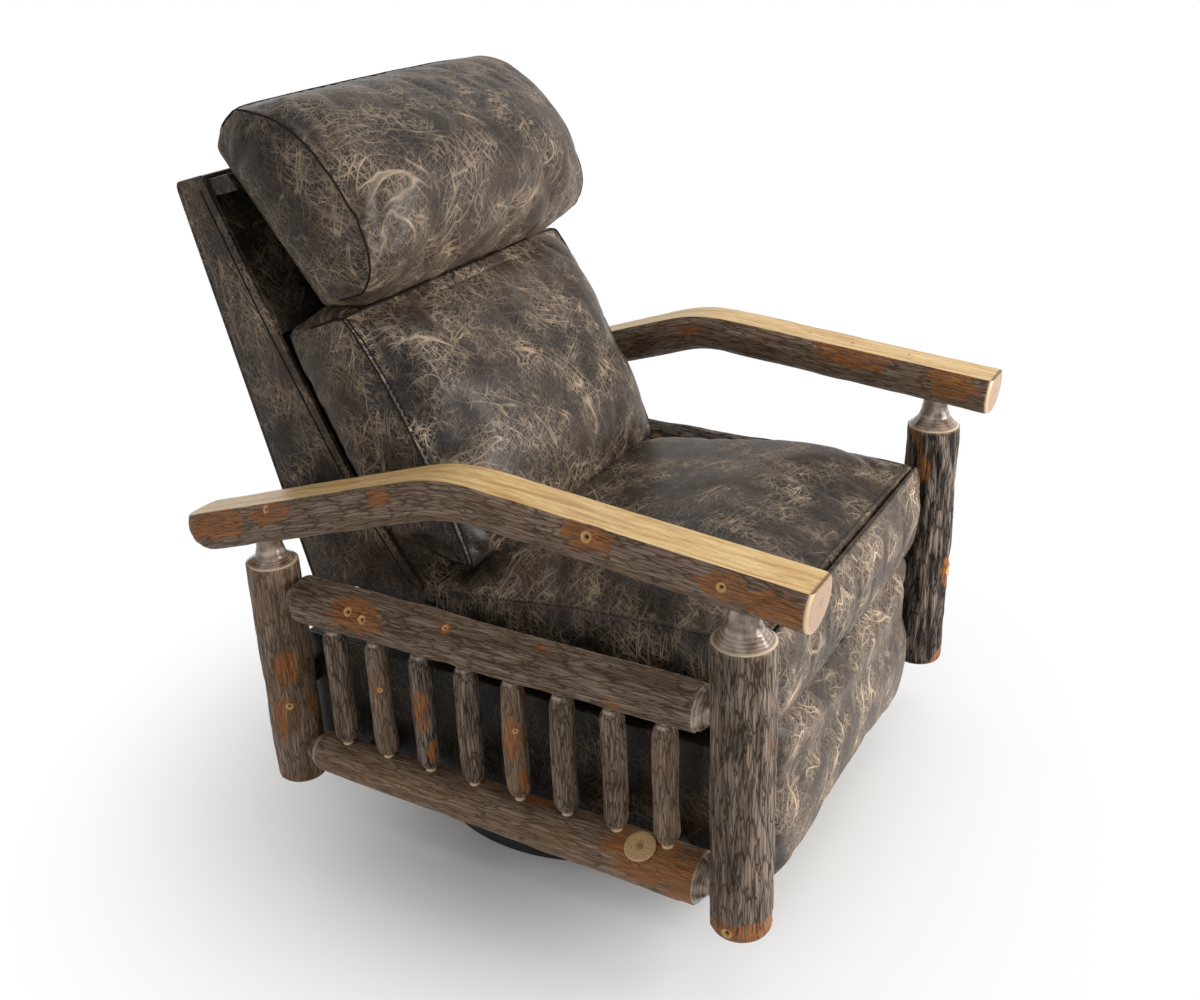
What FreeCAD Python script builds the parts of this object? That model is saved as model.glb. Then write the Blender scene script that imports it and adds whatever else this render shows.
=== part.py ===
"""Log-frame swivel recliner.

Millimetres. +Z is up, the sitter faces -Y, the sitter's left is +X.
The origin is on the floor, below the middle of the closed chair.
"""
import FreeCAD
import Part
import math
import os

V = FreeCAD.Vector

# Floor base and swivel bearing
BASE_RING_D = 564.0
BASE_RING_W = 34.0
BASE_RING_H = 24.0
BASE_RING_ROUND = 9.0
SPOKE_COUNT = 4
SPOKE_W = 40.0
SPOKE_H = 16.0
HUB_PLATE_D = 290.0
HUB_PLATE_T = 6.0
RACE_D = 230.0
RACE_W = 40.0
RACE_T = 10.0
BALL_D = 10.0
BALL_COUNT = 16
BALL_SINK = 1.0
BALL_CLEARANCE = 0.1
SWIVEL_PLATE_W = 300.0
SWIVEL_PLATE_T = 6.0
SWIVEL_Y = 23.0
CROSS_TUBE_W = 36.0
CROSS_TUBE_H = 48.0
CROSS_TUBE_WALL = 3.0
CROSS_TUBE_SPACING = 240.0

# Seat box
BOX_W = 628.0
BOX_H = 213.0
SIDE_BOARD_T = 18.0
SIDE_COVER_T = 6.0
STRETCHER_T = 22.0
FRONT_STRETCHER_GAP = 7.0
FRONT_STRETCHER_H = 68.0
REAR_STRETCHER_H = 118.0
BOX_REAR_OVERLAP = 5.0
BOX_FOOTREST_GAP = 14.0

# Log arm frames
LOG_GAP = 13.5
LOG_DROP = 7.0
POST_SPACING = 744.0
POST_SETBACK = 13.0
FRONT_POST_D = 82.0
FRONT_POST_BARK = 430.0
FRONT_NECK = 42.0
REAR_POST_D = 76.0
REAR_POST_BARK = 368.0
REAR_NECK = 34.0
POST_FOOT_CHAMFER = 5.0
NECK_HOLLOW = 0.35
ARM_LOG_D = 78.0
ARM_FLAT_RISE = 25.0
ARM_FRONT_OVERHANG = 93.1
ARM_REAR_OVERHANG = 122.0
ARM_BEND_RUN = 406.0
ARM_BEND_RISE = 39.0
ARM_FRONT_CHAMFER = 5.0
ARM_REAR_ROUND = 16.0
UPPER_RAIL_RISE = 318.0
UPPER_RAIL_FRONT_D = 64.0
UPPER_RAIL_REAR_D = 70.0
LOWER_RAIL_RISE = 53.0
LOWER_RAIL_FRONT_D = 74.0
LOWER_RAIL_REAR_D = 60.0
RAIL_SHOULDER = 16.0
TENON_D = 38.0
TENON_DEPTH = 32.0
SPINDLE_COUNT = 8
SPINDLE_PITCH = 76.7
SPINDLE_MIDDLE = 3.0
SPINDLE_D = 35.0
SPINDLE_TENON_D = 16.0
SPINDLE_TENON_DEPTH = 20.0
SPINDLE_SHOULDER_D = 25.5
SPINDLE_TAPER = 24.0
GLUE_GAP = 0.15

# Bolts that hold the log frames to the seat box
FRAME_BOLT_D = 10.0
FRAME_BOLT_HEAD_D = 18.0
FRAME_BOLT_HEAD_H = 6.0
FRAME_BOLT_GRIP = 34.0
SPACER_D = 36.0
SPACER_SEAT = 5.0
RAIL_BOLT_FRONT_INSET = 114.0
RAIL_BOLT_REAR_INSET = 125.0
POST_BOLT_RISE = 155.0
BOLT_HOLE_CLEARANCE = 0.3

# Recliner hardware
PLATE_T = 4.0
PLATE_GAP = 2.0
GUIDE_PLATE_T = 5.0
GUIDE_PLATE_H = 35.0
GUIDE_GAP = 5.0
GUIDE_STUD_D = 12.0
GUIDE_STUD_DROP = 6.0
GUIDE_FRONT_STUD = 82.0
GUIDE_REAR_STUD = 362.0
GUIDE_PLATE_END = 26.0
SLOT_CLEARANCE = 0.2
SLIDE_TRAVEL = 50.0
SLIDE_RISE_ANGLE = 8.0
CARRIAGE_H = 72.0
CARRIAGE_BELOW_LINK = 18.0
CARRIAGE_TAB_W = 60.0
CARRIAGE_TAB_FRONT = 34.0
CARRIAGE_EAR_W = 44.0
LINK_ROOT_DROP = 13.0
LINK_W = 20.0
LINK_REACH = 105.0
LINK_STUD_D = 9.0
LINK_STUD_END = 1.0
PIVOT_CLEARANCE = 0.06
LINK_CLOSED_ANGLE = 8.0
LINK_OPEN_ANGLE = 50.0
LINK_LIFT_ANGLE = 5.0
LINK_TUBE_D = 24.0
LINK_TUBE_BORE = 16.0
TILT_LINK_W = 16.0
TILT_CRANK = 58.0
TILT_CRANK_ANGLE = 10.0
FOOT_BOARD_CLEARANCE = 6.0
BRACKET_FLANGE_T = 4.0
BRACKET_FLANGE_W = 24.0
BRACKET_H = 110.0
BRACKET_TOP = 12.0
BACK_PIVOT_STUD_D = 14.0
BACK_BRACKET_W = 40.0
BACK_BRACKET_LAP = 150.0

# Moving seat frame and upholstery
SEAT_FRONT = 417.0
SEAT_DEPTH = 522.0
SEAT_SIDE_OVERHANG = 2.0
SEAT_RAIL_T = 24.0
SEAT_RAIL_H = 34.0
SEAT_RAIL_LINK_GAP = 16.0
SEAT_FRONT_RAIL_H = 18.0
SEAT_SPRING_WIRE = 4.0
SEAT_SPRING_COUNT = 5
SEAT_SPRING_SPACING = 100.0
SEAT_SPRING_PITCH = 44.0
SEAT_SPRING_LOOP = 22.0
SEAT_FRONT_H = 116.0
SEAT_REAR_H = 82.0
SEAT_CROWN = 17.0
SEAT_SIDE_BULGE = 4.0
SEAT_DRAW_IN = 4.0
BORDER_T = 21.0
BORDER_DROP = 22.0
BORDER_BULGE = 9.0
BORDER_CROWN = 4.5
BORDER_SIDE_BULGE = 1.0
SOFT_GAP = 0.3
# Each row: share of the depth, sides drawn in, share of the fall to the rear, crown
SEAT_SECTIONS = (
    (0.0, 2.0, 0.06, 0.4),
    (0.23, 0.0, 0.06, 1.0),
    (0.47, 1.0, 0.28, 1.0),
    (0.75, 0.6, 0.72, 0.5),
    (1.0, 0.4, 1.0, 0.2),
)
# Each row: share of the height, bulge, sides drawn in
BORDER_SECTIONS = (
    (0.0, 0.25, 2.4),
    (0.22, 0.8, 1.6),
    (0.5, 1.0, 1.4),
    (0.8, 0.8, 1.6),
    (1.0, 0.1, 2.4),
)

# Footrest
FOOTREST_W = 600.0
FOOTREST_H = 265.0
FOOTREST_BORDER_GAP = 17.0
FOOT_PAD_T = 38.0
FOOT_PAD_CROWN = 7.0
FOOT_PAD_SETBACK = 7.0
FOOT_PAD_CORNER = 52.0
FOOT_PAD_SIDE_BULGE = 1.75
# Each row: share of the height, corners up from there, ends set in by corners and by crowns, thickness, crown
FOOT_PAD_SECTIONS = (
    (0.0, 0.0, 1.0, 0.0, 0.62, 0.5),
    (0.0, 0.25, 0.4, 0.0, 0.86, 0.8),
    (0.0, 1.0, 0.0, 0.5, 1.0, 1.0),
    (0.55, 0.0, 0.0, 1.0, 1.0, 1.0),
    (1.0, -0.7, 0.0, 0.5, 1.0, 1.0),
    (1.0, -0.25, 0.0, 0.5, 0.95, 0.8),
    (1.0, 0.0, 0.0, 1.0, 0.6, 0.5),
)
FOOT_BOARD_T = 14.0
FOOT_BOARD_MARGIN = 12.0

# Reclining back: stations run up the leaning rear face, depths run forward from it
BACK_PIVOT_BEHIND_SEAT = 25.0
BACK_PIVOT_ABOVE_RAIL = 13.0
BACK_SETBACK = 212.0
BACK_FOOT_RISE = 7.0
BACK_LEAN = 14.76
BACK_LENGTH = 617.0
BACK_TOP_DEPTH = 52.0
BACK_MID_STATION = 380.0
BACK_MID_DEPTH = 97.0
BACK_BEND_STATION = 166.0
BACK_BEND_DEPTH = 143.0
BACK_SKIRT_DROP = 15.0
BACK_SKIRT_DEPTH = 206.0
BACK_LOW_STATION = 62.0
BACK_SIDE_ROOM = 4.0
BACK_COVER_T = 6.0
STILE_T = 22.0
STILE_DEPTH = 40.0
STILE_FOOT = 26.0
STILE_HEAD = 12.0
BACK_RAIL_H = 42.0
WEBBING_T = 3.0
WEBBING_W = 58.0
WEBBING_COUNT = 4
CORE_SIDE_GAP = 20.0
BRIDGE_H = 24.0
LUMBAR_REACH = 215.0
LUMBAR_LOW_REACH = 303.0
LUMBAR_REAR_GAP = 3.5
LUMBAR_FOOT = 57.0
LUMBAR_SWELL = 8.0
LUMBAR_CROWN = 30.0
LUMBAR_DRAW_IN = 5.0
# Each row: share of the run, drop of the front edge, sides drawn in, crown
LUMBAR_SECTIONS = (
    (0.0, 1.0, 0.4, 0.6),
    (0.15, 0.3, 0.8, 1.0),
    (0.327, 0.1, 0.95, 1.04),
    (0.43, 0.0, 1.0, 1.05),
    (0.75, -0.35, 0.8, 0.95),
    (1.0, -0.2, 0.2, 0.5),
)
BACK_SIDE_BULGE = 2.0
HEADREST_FOOT_GAP = 30.0
HEADREST_LENGTH = 252.0
HEADREST_REAR_LOW = 180.0
HEADREST_REAR_HIGH = 72.0
HEADREST_DEPTH = 148.0
HEADREST_CROWN = 15.0
HEADREST_DRAW_IN = 4.0
# Each row: share of the length, forward reach, upward lift, ends drawn in, crown
HEADREST_SECTIONS = (
    (0.0, 0.55, 0.02, 1.6, 0.4),
    (0.13, 0.86, 0.03, 0.8, 0.8),
    (0.4, 1.04, 0.05, 1.0, 1.0),
    (0.64, 0.96, 0.17, 1.0, 1.0),
    (0.87, 0.73, 0.17, 0.8, 0.7),
    (1.0, 0.46, 0.13, 1.6, 0.3),
)


def rod(start, end, diameter):
    """A round bar between two points."""
    run = end - start
    return Part.makeCylinder(diameter / 2, run.Length, start, run)


def block(x, y, z):
    """A box from three (low, high) pairs."""
    return Part.makeBox(x[1] - x[0], y[1] - y[0], z[1] - z[0], V(x[0], y[0], z[0]))


def prism(outline, x):
    """A (y, z) outline, pulled from the first x to the second."""
    points = [V(x[0], y, z) for y, z in outline]
    face = Part.Face(Part.makePolygon(points + points[:1]))
    return face.extrude(V(x[1] - x[0], 0, 0))


def turned(profile, foot, axis):
    """A turned piece from (height, radius) points; two points in one step are an arc through the first."""
    edges = []
    here = V(0, 0, profile[0][0])
    for step in profile:
        if isinstance(step[0], tuple):
            middle, end = [V(radius, 0, height) for height, radius in step]
            edges.append(Part.Arc(here, middle, end).toShape())
        else:
            end = V(step[1], 0, step[0])
            edges.append(Part.makeLine(here, end))
        here = end
    tip = V(0, 0, here.z)
    edges.append(Part.makeLine(here, tip))
    edges.append(Part.makeLine(tip, V(0, 0, profile[0][0])))
    solid = Part.Face(Part.Wire(edges)).revolve(V(0, 0, 0), V(0, 0, 1), 360)
    solid.Placement = FreeCAD.Placement(foot, FreeCAD.Rotation(V(0, 0, 1), axis))
    return solid


def flat_bar(start, end, width, x):
    """A round-ended flat bar between two (y, z) points, from the first x to the second."""
    a = V(x[0], start[0], start[1])
    b = V(x[0], end[0], end[1])
    along = (b - a).normalize() * (width / 2)
    across = V(0, -along.z, along.y)
    outline = Part.Wire([
        Part.makeLine(a + across, b + across),
        Part.Arc(b + across, b + along, b - across).toShape(),
        Part.makeLine(b - across, a - across),
        Part.Arc(a - across, a - along, a + across).toShape(),
    ])
    return Part.Face(outline).extrude(V(x[1] - x[0], 0, 0))


def stud(point, diameter, x):
    """A round stud along X at a (y, z) point."""
    return rod(V(x[0], point[0], point[1]), V(x[1], point[0], point[1]), diameter)


def both_sides(shape):
    """The shape built on the left, and its mirror image on the right."""
    return [shape, shape.mirror(V(0, 0, 0), V(1, 0, 0))]


def pair(name, shape):
    """Writes a left and a right node."""
    left, right = both_sides(shape)
    save("left_" + name, left)
    save("right_" + name, right)


def save(name, *solids):
    shape = solids[0] if len(solids) == 1 else Part.makeCompound(solids)
    shape.exportStep("parts/%s.step" % name)


def padded(sections):
    """A soft closed form through sections of four corners, each with its side bulge and crown point."""
    wires = []
    for corners, crown, bulge in sections:
        rear_right, rear_left, front_left, front_right = corners
        side = V(bulge, 0, 0)
        middle_left = (rear_left + front_left) / 2 + side
        middle_right = (rear_right + front_right) / 2 - side
        wires.append(Part.Wire([
            Part.makeLine(rear_right, rear_left),
            Part.Arc(rear_left, middle_left, front_left).toShape(),
            Part.Arc(front_left, crown, front_right).toShape(),
            Part.Arc(front_right, middle_right, rear_right).toShape(),
        ]))
    return Part.makeLoft(wires, True, False)


# Heights, from the floor up
SPOKE_TOP = BASE_RING_H
HUB_TOP = SPOKE_TOP + HUB_PLATE_T
LOWER_RACE_TOP = HUB_TOP + RACE_T
BALL_Z = LOWER_RACE_TOP - BALL_SINK + BALL_D / 2
UPPER_RACE_BOTTOM = LOWER_RACE_TOP - 2 * BALL_SINK + BALL_D
UPPER_RACE_TOP = UPPER_RACE_BOTTOM + RACE_T
SWIVEL_TOP = UPPER_RACE_TOP + SWIVEL_PLATE_T
BOX_BOTTOM = SWIVEL_TOP + CROSS_TUBE_H
BOX_TOP = BOX_BOTTOM + BOX_H
LOG_BOTTOM = BOX_BOTTOM - LOG_DROP

# Widths, from the log frames in to the links
BOX_HALF = BOX_W / 2
BOARD_INNER = BOX_HALF - SIDE_BOARD_T
COVER_OUTER = BOX_HALF + SIDE_COVER_T
POST_X = COVER_OUTER + LOG_GAP + FRONT_POST_D / 2
GUIDE_X = (BOARD_INNER - GUIDE_PLATE_T, BOARD_INNER)
CARRIAGE_X = (GUIDE_X[0] - GUIDE_GAP - PLATE_T, GUIDE_X[0] - GUIDE_GAP)
LAYER = PLATE_T + PLATE_GAP
DOWN_X = (CARRIAGE_X[0] - LAYER, CARRIAGE_X[1] - LAYER)
UP_X = (DOWN_X[0] - LAYER, DOWN_X[1] - LAYER)
BRACKET_X = (UP_X[0] - LAYER, UP_X[1] - LAYER)
TILT_X = (BRACKET_X[0] - LAYER, BRACKET_X[1] - LAYER)
SEAT_HALF = BOX_HALF + SEAT_SIDE_OVERHANG
BACK_HALF = DOWN_X[1] + BACK_SIDE_ROOM + BACK_COVER_T
FOOT_HALF = FOOTREST_W / 2

# Places along the chair, from the seat front back
SEAT_FRONT_Y = -SEAT_FRONT
SEAT_REAR_Y = SEAT_FRONT_Y + SEAT_DEPTH
FRONT_POST_Y = SEAT_FRONT_Y + POST_SETBACK
REAR_POST_Y = FRONT_POST_Y + POST_SPACING
FOOT_PAD_FRONT_Y = SEAT_FRONT_Y + FOOT_PAD_SETBACK
FOOT_BOARD_FRONT_Y = FOOT_PAD_FRONT_Y + FOOT_PAD_CROWN + FOOT_PAD_T
FOOT_BOARD_REAR_Y = FOOT_BOARD_FRONT_Y + FOOT_BOARD_T
BOX_FRONT_Y = FOOT_BOARD_REAR_Y + BOX_FOOTREST_GAP
BOX_REAR_Y = REAR_POST_Y + BOX_REAR_OVERLAP

# Scissor pivots in the closed chair, as (y, z): each stage steps forward along LIFT and hangs along PLUMB
LIFT = (-math.cos(math.radians(LINK_LIFT_ANGLE)), math.sin(math.radians(LINK_LIFT_ANGLE)))
PLUMB = (-LIFT[1], LIFT[0])
CLOSED_STEP = 2 * LINK_REACH * math.sin(math.radians(LINK_CLOSED_ANGLE))
CLOSED_HANG = 2 * LINK_REACH * math.cos(math.radians(LINK_CLOSED_ANGLE))
OPEN_HANG = 2 * LINK_REACH * math.cos(math.radians(LINK_OPEN_ANGLE))


def along_scissor(origin, step, hang):
    """A (y, z) point that lies step along LIFT and hang along PLUMB from the origin."""
    return (origin[0] + step * LIFT[0] + hang * PLUMB[0], origin[1] + step * LIFT[1] + hang * PLUMB[1])


def midpoint(a, b):
    return ((a[0] + b[0]) / 2, (a[1] + b[1]) / 2)


FRONT_FOOT_Y = FOOT_BOARD_REAR_Y + FOOT_BOARD_CLEARANCE + LINK_W / 2
LINK_ROOT_Z = BOX_TOP - LINK_ROOT_DROP
LINK_ROOT = (FRONT_FOOT_Y - 2 * CLOSED_STEP * LIFT[0] - CLOSED_HANG * PLUMB[0], LINK_ROOT_Z)
REAR_SLIDER = along_scissor(LINK_ROOT, 0, CLOSED_HANG)
REAR_SLIDER_OPEN = along_scissor(LINK_ROOT, 0, OPEN_HANG)
MID_HIGH = along_scissor(LINK_ROOT, CLOSED_STEP, 0)
MID_LOW = along_scissor(LINK_ROOT, CLOSED_STEP, CLOSED_HANG)
FRONT_HIGH = along_scissor(LINK_ROOT, 2 * CLOSED_STEP, 0)
FRONT_LOW = along_scissor(LINK_ROOT, 2 * CLOSED_STEP, CLOSED_HANG)
REAR_CROSS = midpoint(LINK_ROOT, MID_LOW)
FRONT_CROSS = midpoint(MID_HIGH, FRONT_LOW)
CRANK = math.radians(LINK_LIFT_ANGLE + TILT_CRANK_ANGLE)
TILT_PIN = (FRONT_HIGH[0] - TILT_CRANK * math.sin(CRANK), FRONT_HIGH[1] - TILT_CRANK * math.cos(CRANK))

# Seat frame heights
SEAT_RAIL_BOTTOM = LINK_ROOT_Z + LINK_W / 2 + SEAT_RAIL_LINK_GAP
SEAT_RAIL_TOP = SEAT_RAIL_BOTTOM + SEAT_RAIL_H
CUSHION_BOTTOM = SEAT_RAIL_TOP + SEAT_SPRING_WIRE + SOFT_GAP
BORDER_BOTTOM = CUSHION_BOTTOM - BORDER_DROP
BORDER_REAR_Y = SEAT_FRONT_Y + BORDER_T
FOOTREST_TOP = BORDER_BOTTOM - FOOTREST_BORDER_GAP
FOOTREST_BOTTOM = FOOTREST_TOP - FOOTREST_H
BACK_PIVOT = (SEAT_REAR_Y + BACK_PIVOT_BEHIND_SEAT, SEAT_RAIL_TOP + BACK_PIVOT_ABOVE_RAIL)

# The leaning frame of the back
BACK_FOOT = (BACK_PIVOT[0] + BACK_SETBACK, BACK_PIVOT[1] + BACK_FOOT_RISE)
UPWARD = (math.sin(math.radians(BACK_LEAN)), math.cos(math.radians(BACK_LEAN)))
STILE_FRONT = BACK_COVER_T + STILE_DEPTH
COVER_INNER_HALF = BACK_HALF - BACK_COVER_T
BACK_EDGE = (
    (-BACK_SKIRT_DROP, BACK_SKIRT_DEPTH), (BACK_BEND_STATION, BACK_BEND_DEPTH),
    (BACK_MID_STATION, BACK_MID_DEPTH), (BACK_LENGTH, BACK_TOP_DEPTH),
)


def on_back(station, depth):
    """The (y, z) point at a station up the rear face and a depth in front of it."""
    return (
        BACK_FOOT[0] + station * UPWARD[0] - depth * UPWARD[1],
        BACK_FOOT[1] + station * UPWARD[1] + depth * UPWARD[0],
    )


def back_front(station):
    """The depth of the back shell's front edge at a station."""
    for (low, deep), (high, shallow) in zip(BACK_EDGE, BACK_EDGE[1:]):
        if station <= high:
            return deep + (station - low) / (high - low) * (shallow - deep)
    return BACK_TOP_DEPTH


def back_prism(outline, x):
    return prism([on_back(station, depth) for station, depth in outline], x)


def back_section(rear, front, half, crown):
    """One soft section of the back between a rear and a front (station, depth), bulging forward by crown."""
    back = V(0, *on_back(*rear))
    face = V(0, *on_back(*front))
    side = V(half, 0, 0)
    outward = (face - back).normalize()
    return (back - side, back + side, face + side, face - side), face + outward * crown, BACK_SIDE_BULGE


def floor_base():
    outer = BASE_RING_D / 2
    inner = outer - BASE_RING_W
    centre = V(0, SWIVEL_Y, 0)
    ring = Part.makeCylinder(outer, BASE_RING_H, centre).cut(Part.makeCylinder(inner, BASE_RING_H, centre))
    rims = [e for e in ring.Edges if isinstance(e.Curve, Part.Circle) and e.CenterOfMass.z > BASE_RING_H / 2]
    save("base_ring", ring.makeFillet(BASE_RING_ROUND, rims))

    bore = Part.makeCylinder(inner, BASE_RING_H, centre)
    across = (SWIVEL_Y - SPOKE_W / 2, SWIVEL_Y + SPOKE_W / 2)
    arm = block((SPOKE_W / 2, inner), across, (SPOKE_TOP - SPOKE_H, SPOKE_TOP))
    spokes = []
    for number in range(SPOKE_COUNT):
        spoke = arm.copy()
        spoke.rotate(centre, V(0, 0, 1), 360 / SPOKE_COUNT * number)
        spokes.append(spoke.common(bore).Solids[0])
    save("base_spokes", *spokes)

    save("hub_plate", Part.makeCylinder(HUB_PLATE_D / 2, HUB_PLATE_T, V(0, SWIVEL_Y, SPOKE_TOP)))


def swivel_bearing():
    groove = Part.makeTorus(RACE_D / 2, BALL_D / 2 + BALL_CLEARANCE, V(0, SWIVEL_Y, BALL_Z))
    for name, bottom in (("lower_race", HUB_TOP), ("upper_race", UPPER_RACE_BOTTOM)):
        disc = Part.makeCylinder((RACE_D + RACE_W) / 2, RACE_T, V(0, SWIVEL_Y, bottom))
        hole = Part.makeCylinder((RACE_D - RACE_W) / 2, RACE_T, V(0, SWIVEL_Y, bottom))
        save(name, disc.cut(hole).cut(groove))
    balls = []
    for number in range(BALL_COUNT):
        turn = 2 * math.pi * number / BALL_COUNT
        place = V(RACE_D / 2 * math.cos(turn), SWIVEL_Y + RACE_D / 2 * math.sin(turn), BALL_Z)
        balls.append(Part.makeSphere(BALL_D / 2, place))
    save("bearing_balls", *balls)

    half = SWIVEL_PLATE_W / 2
    plate_y = (SWIVEL_Y - half, SWIVEL_Y + half)
    save("swivel_plate", block((-half, half), plate_y, (UPPER_RACE_TOP, SWIVEL_TOP)))
    tubes = []
    for sign in (-1, 1):
        middle = SWIVEL_Y + sign * CROSS_TUBE_SPACING / 2
        front = middle - CROSS_TUBE_W / 2
        rear = middle + CROSS_TUBE_W / 2
        wall = CROSS_TUBE_WALL
        across = (-BOX_HALF, BOX_HALF)
        outer = block(across, (front, rear), (SWIVEL_TOP, BOX_BOTTOM))
        bore = block(across, (front + wall, rear - wall), (SWIVEL_TOP + wall, BOX_BOTTOM - wall))
        tubes.append(outer.cut(bore))
    save("cross_tubes", *tubes)


# Log frames: axis heights and the bent arm's three axis points
UPPER_RAIL_Z = LOG_BOTTOM + UPPER_RAIL_RISE
LOWER_RAIL_Z = LOG_BOTTOM + LOWER_RAIL_RISE
ARM_R = ARM_LOG_D / 2
FRONT_BARK_TOP = LOG_BOTTOM + FRONT_POST_BARK
REAR_BARK_TOP = LOG_BOTTOM + REAR_POST_BARK
ARM_OVER_FRONT = (FRONT_POST_Y, FRONT_BARK_TOP + FRONT_NECK + ARM_R)
ARM_OVER_REAR = (REAR_POST_Y, REAR_BARK_TOP + REAR_NECK + ARM_R)
ARM_BEND = (FRONT_POST_Y + ARM_BEND_RUN, ARM_OVER_FRONT[1] + ARM_BEND_RISE)
ARM_FRONT_SLOPE = ARM_BEND_RISE / ARM_BEND_RUN
ARM_REAR_SLOPE = (ARM_OVER_REAR[1] - ARM_BEND[1]) / (REAR_POST_Y - ARM_BEND[0])
ARM_FRONT_DROP = ARM_FRONT_SLOPE * ARM_FRONT_OVERHANG
ARM_REAR_DROP = -ARM_REAR_SLOPE * ARM_REAR_OVERHANG
ARM_FRONT_END = (FRONT_POST_Y - ARM_FRONT_OVERHANG, ARM_OVER_FRONT[1] - ARM_FRONT_DROP)
ARM_REAR_END = (REAR_POST_Y + ARM_REAR_OVERHANG, ARM_OVER_REAR[1] - ARM_REAR_DROP)
ARM_TENON_TOP = ARM_R - TENON_DEPTH
RAIL_FRONT_Y = FRONT_POST_Y + FRONT_POST_D / 2
RAIL_REAR_Y = REAR_POST_Y - REAR_POST_D / 2
RAIL_RUN = RAIL_REAR_Y - RAIL_FRONT_Y
RAILS = {
    "upper_rail": (UPPER_RAIL_Z, UPPER_RAIL_FRONT_D / 2, UPPER_RAIL_REAR_D / 2),
    "lower_rail": (LOWER_RAIL_Z, LOWER_RAIL_FRONT_D / 2, LOWER_RAIL_REAR_D / 2),
}
SPINDLE_PLACES = [
    SPINDLE_MIDDLE + (FRONT_POST_Y + REAR_POST_Y) / 2 + SPINDLE_PITCH * (number - (SPINDLE_COUNT - 1) / 2)
    for number in range(SPINDLE_COUNT)
]
FRAME_BOLTS = [
    (RAIL_FRONT_Y + RAIL_BOLT_FRONT_INSET - FRONT_POST_D / 2, "lower_rail"),
    (RAIL_REAR_Y - RAIL_BOLT_REAR_INSET + REAR_POST_D / 2, "lower_rail"),
    (REAR_POST_Y, "rear_post"),
]


def rail_radius(name, y):
    """The radius of a tapering rail at a place along it."""
    height, front, rear = RAILS[name]
    share = (y - RAIL_FRONT_Y - RAIL_SHOULDER) / (RAIL_RUN - 2 * RAIL_SHOULDER)
    return front + (rear - front) * share


def bolt_place(y, log):
    """The height of a frame bolt and the face on the log where its spacer seats."""
    if log == "rear_post":
        return LOG_BOTTOM + POST_BOLT_RISE, POST_X - REAR_POST_D / 2 + SPACER_SEAT
    return LOWER_RAIL_Z, POST_X - rail_radius(log, y) + SPACER_SEAT


def bolt_cutter(log):
    """The spacer seats and pilot holes that the frame bolts need in a log."""
    cuts = []
    for y, held in FRAME_BOLTS:
        if held == log:
            z, seat = bolt_place(y, log)
            cuts.append(stud((y, z), SPACER_D + 2 * BOLT_HOLE_CLEARANCE, (0, seat)))
            cuts.append(stud((y, z), FRAME_BOLT_D + 2 * BOLT_HOLE_CLEARANCE, (0, seat + FRAME_BOLT_GRIP)))
    return cuts


def log_post(arm_axis, diameter, bark_top, neck, slope):
    """An upright log: bark below, a hollow turned neck, and the tenon that goes into the sloping arm."""
    y, arm_z = arm_axis
    radius = diameter / 2
    tenon = TENON_D / 2
    foot = POST_FOOT_CHAMFER
    neck_top = bark_top + neck - ARM_R * (math.hypot(1, slope) - 1) - abs(slope) * tenon
    hollow = (
        (bark_top + (neck_top - bark_top) * NECK_HOLLOW, tenon + (radius - tenon) * NECK_HOLLOW),
        (neck_top, tenon),
    )
    return turned([
        (LOG_BOTTOM, radius - foot), (LOG_BOTTOM + foot, radius), (bark_top, radius), hollow,
        (arm_z - ARM_TENON_TOP, tenon),
    ], V(POST_X, y, 0), V(0, 0, 1))


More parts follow.
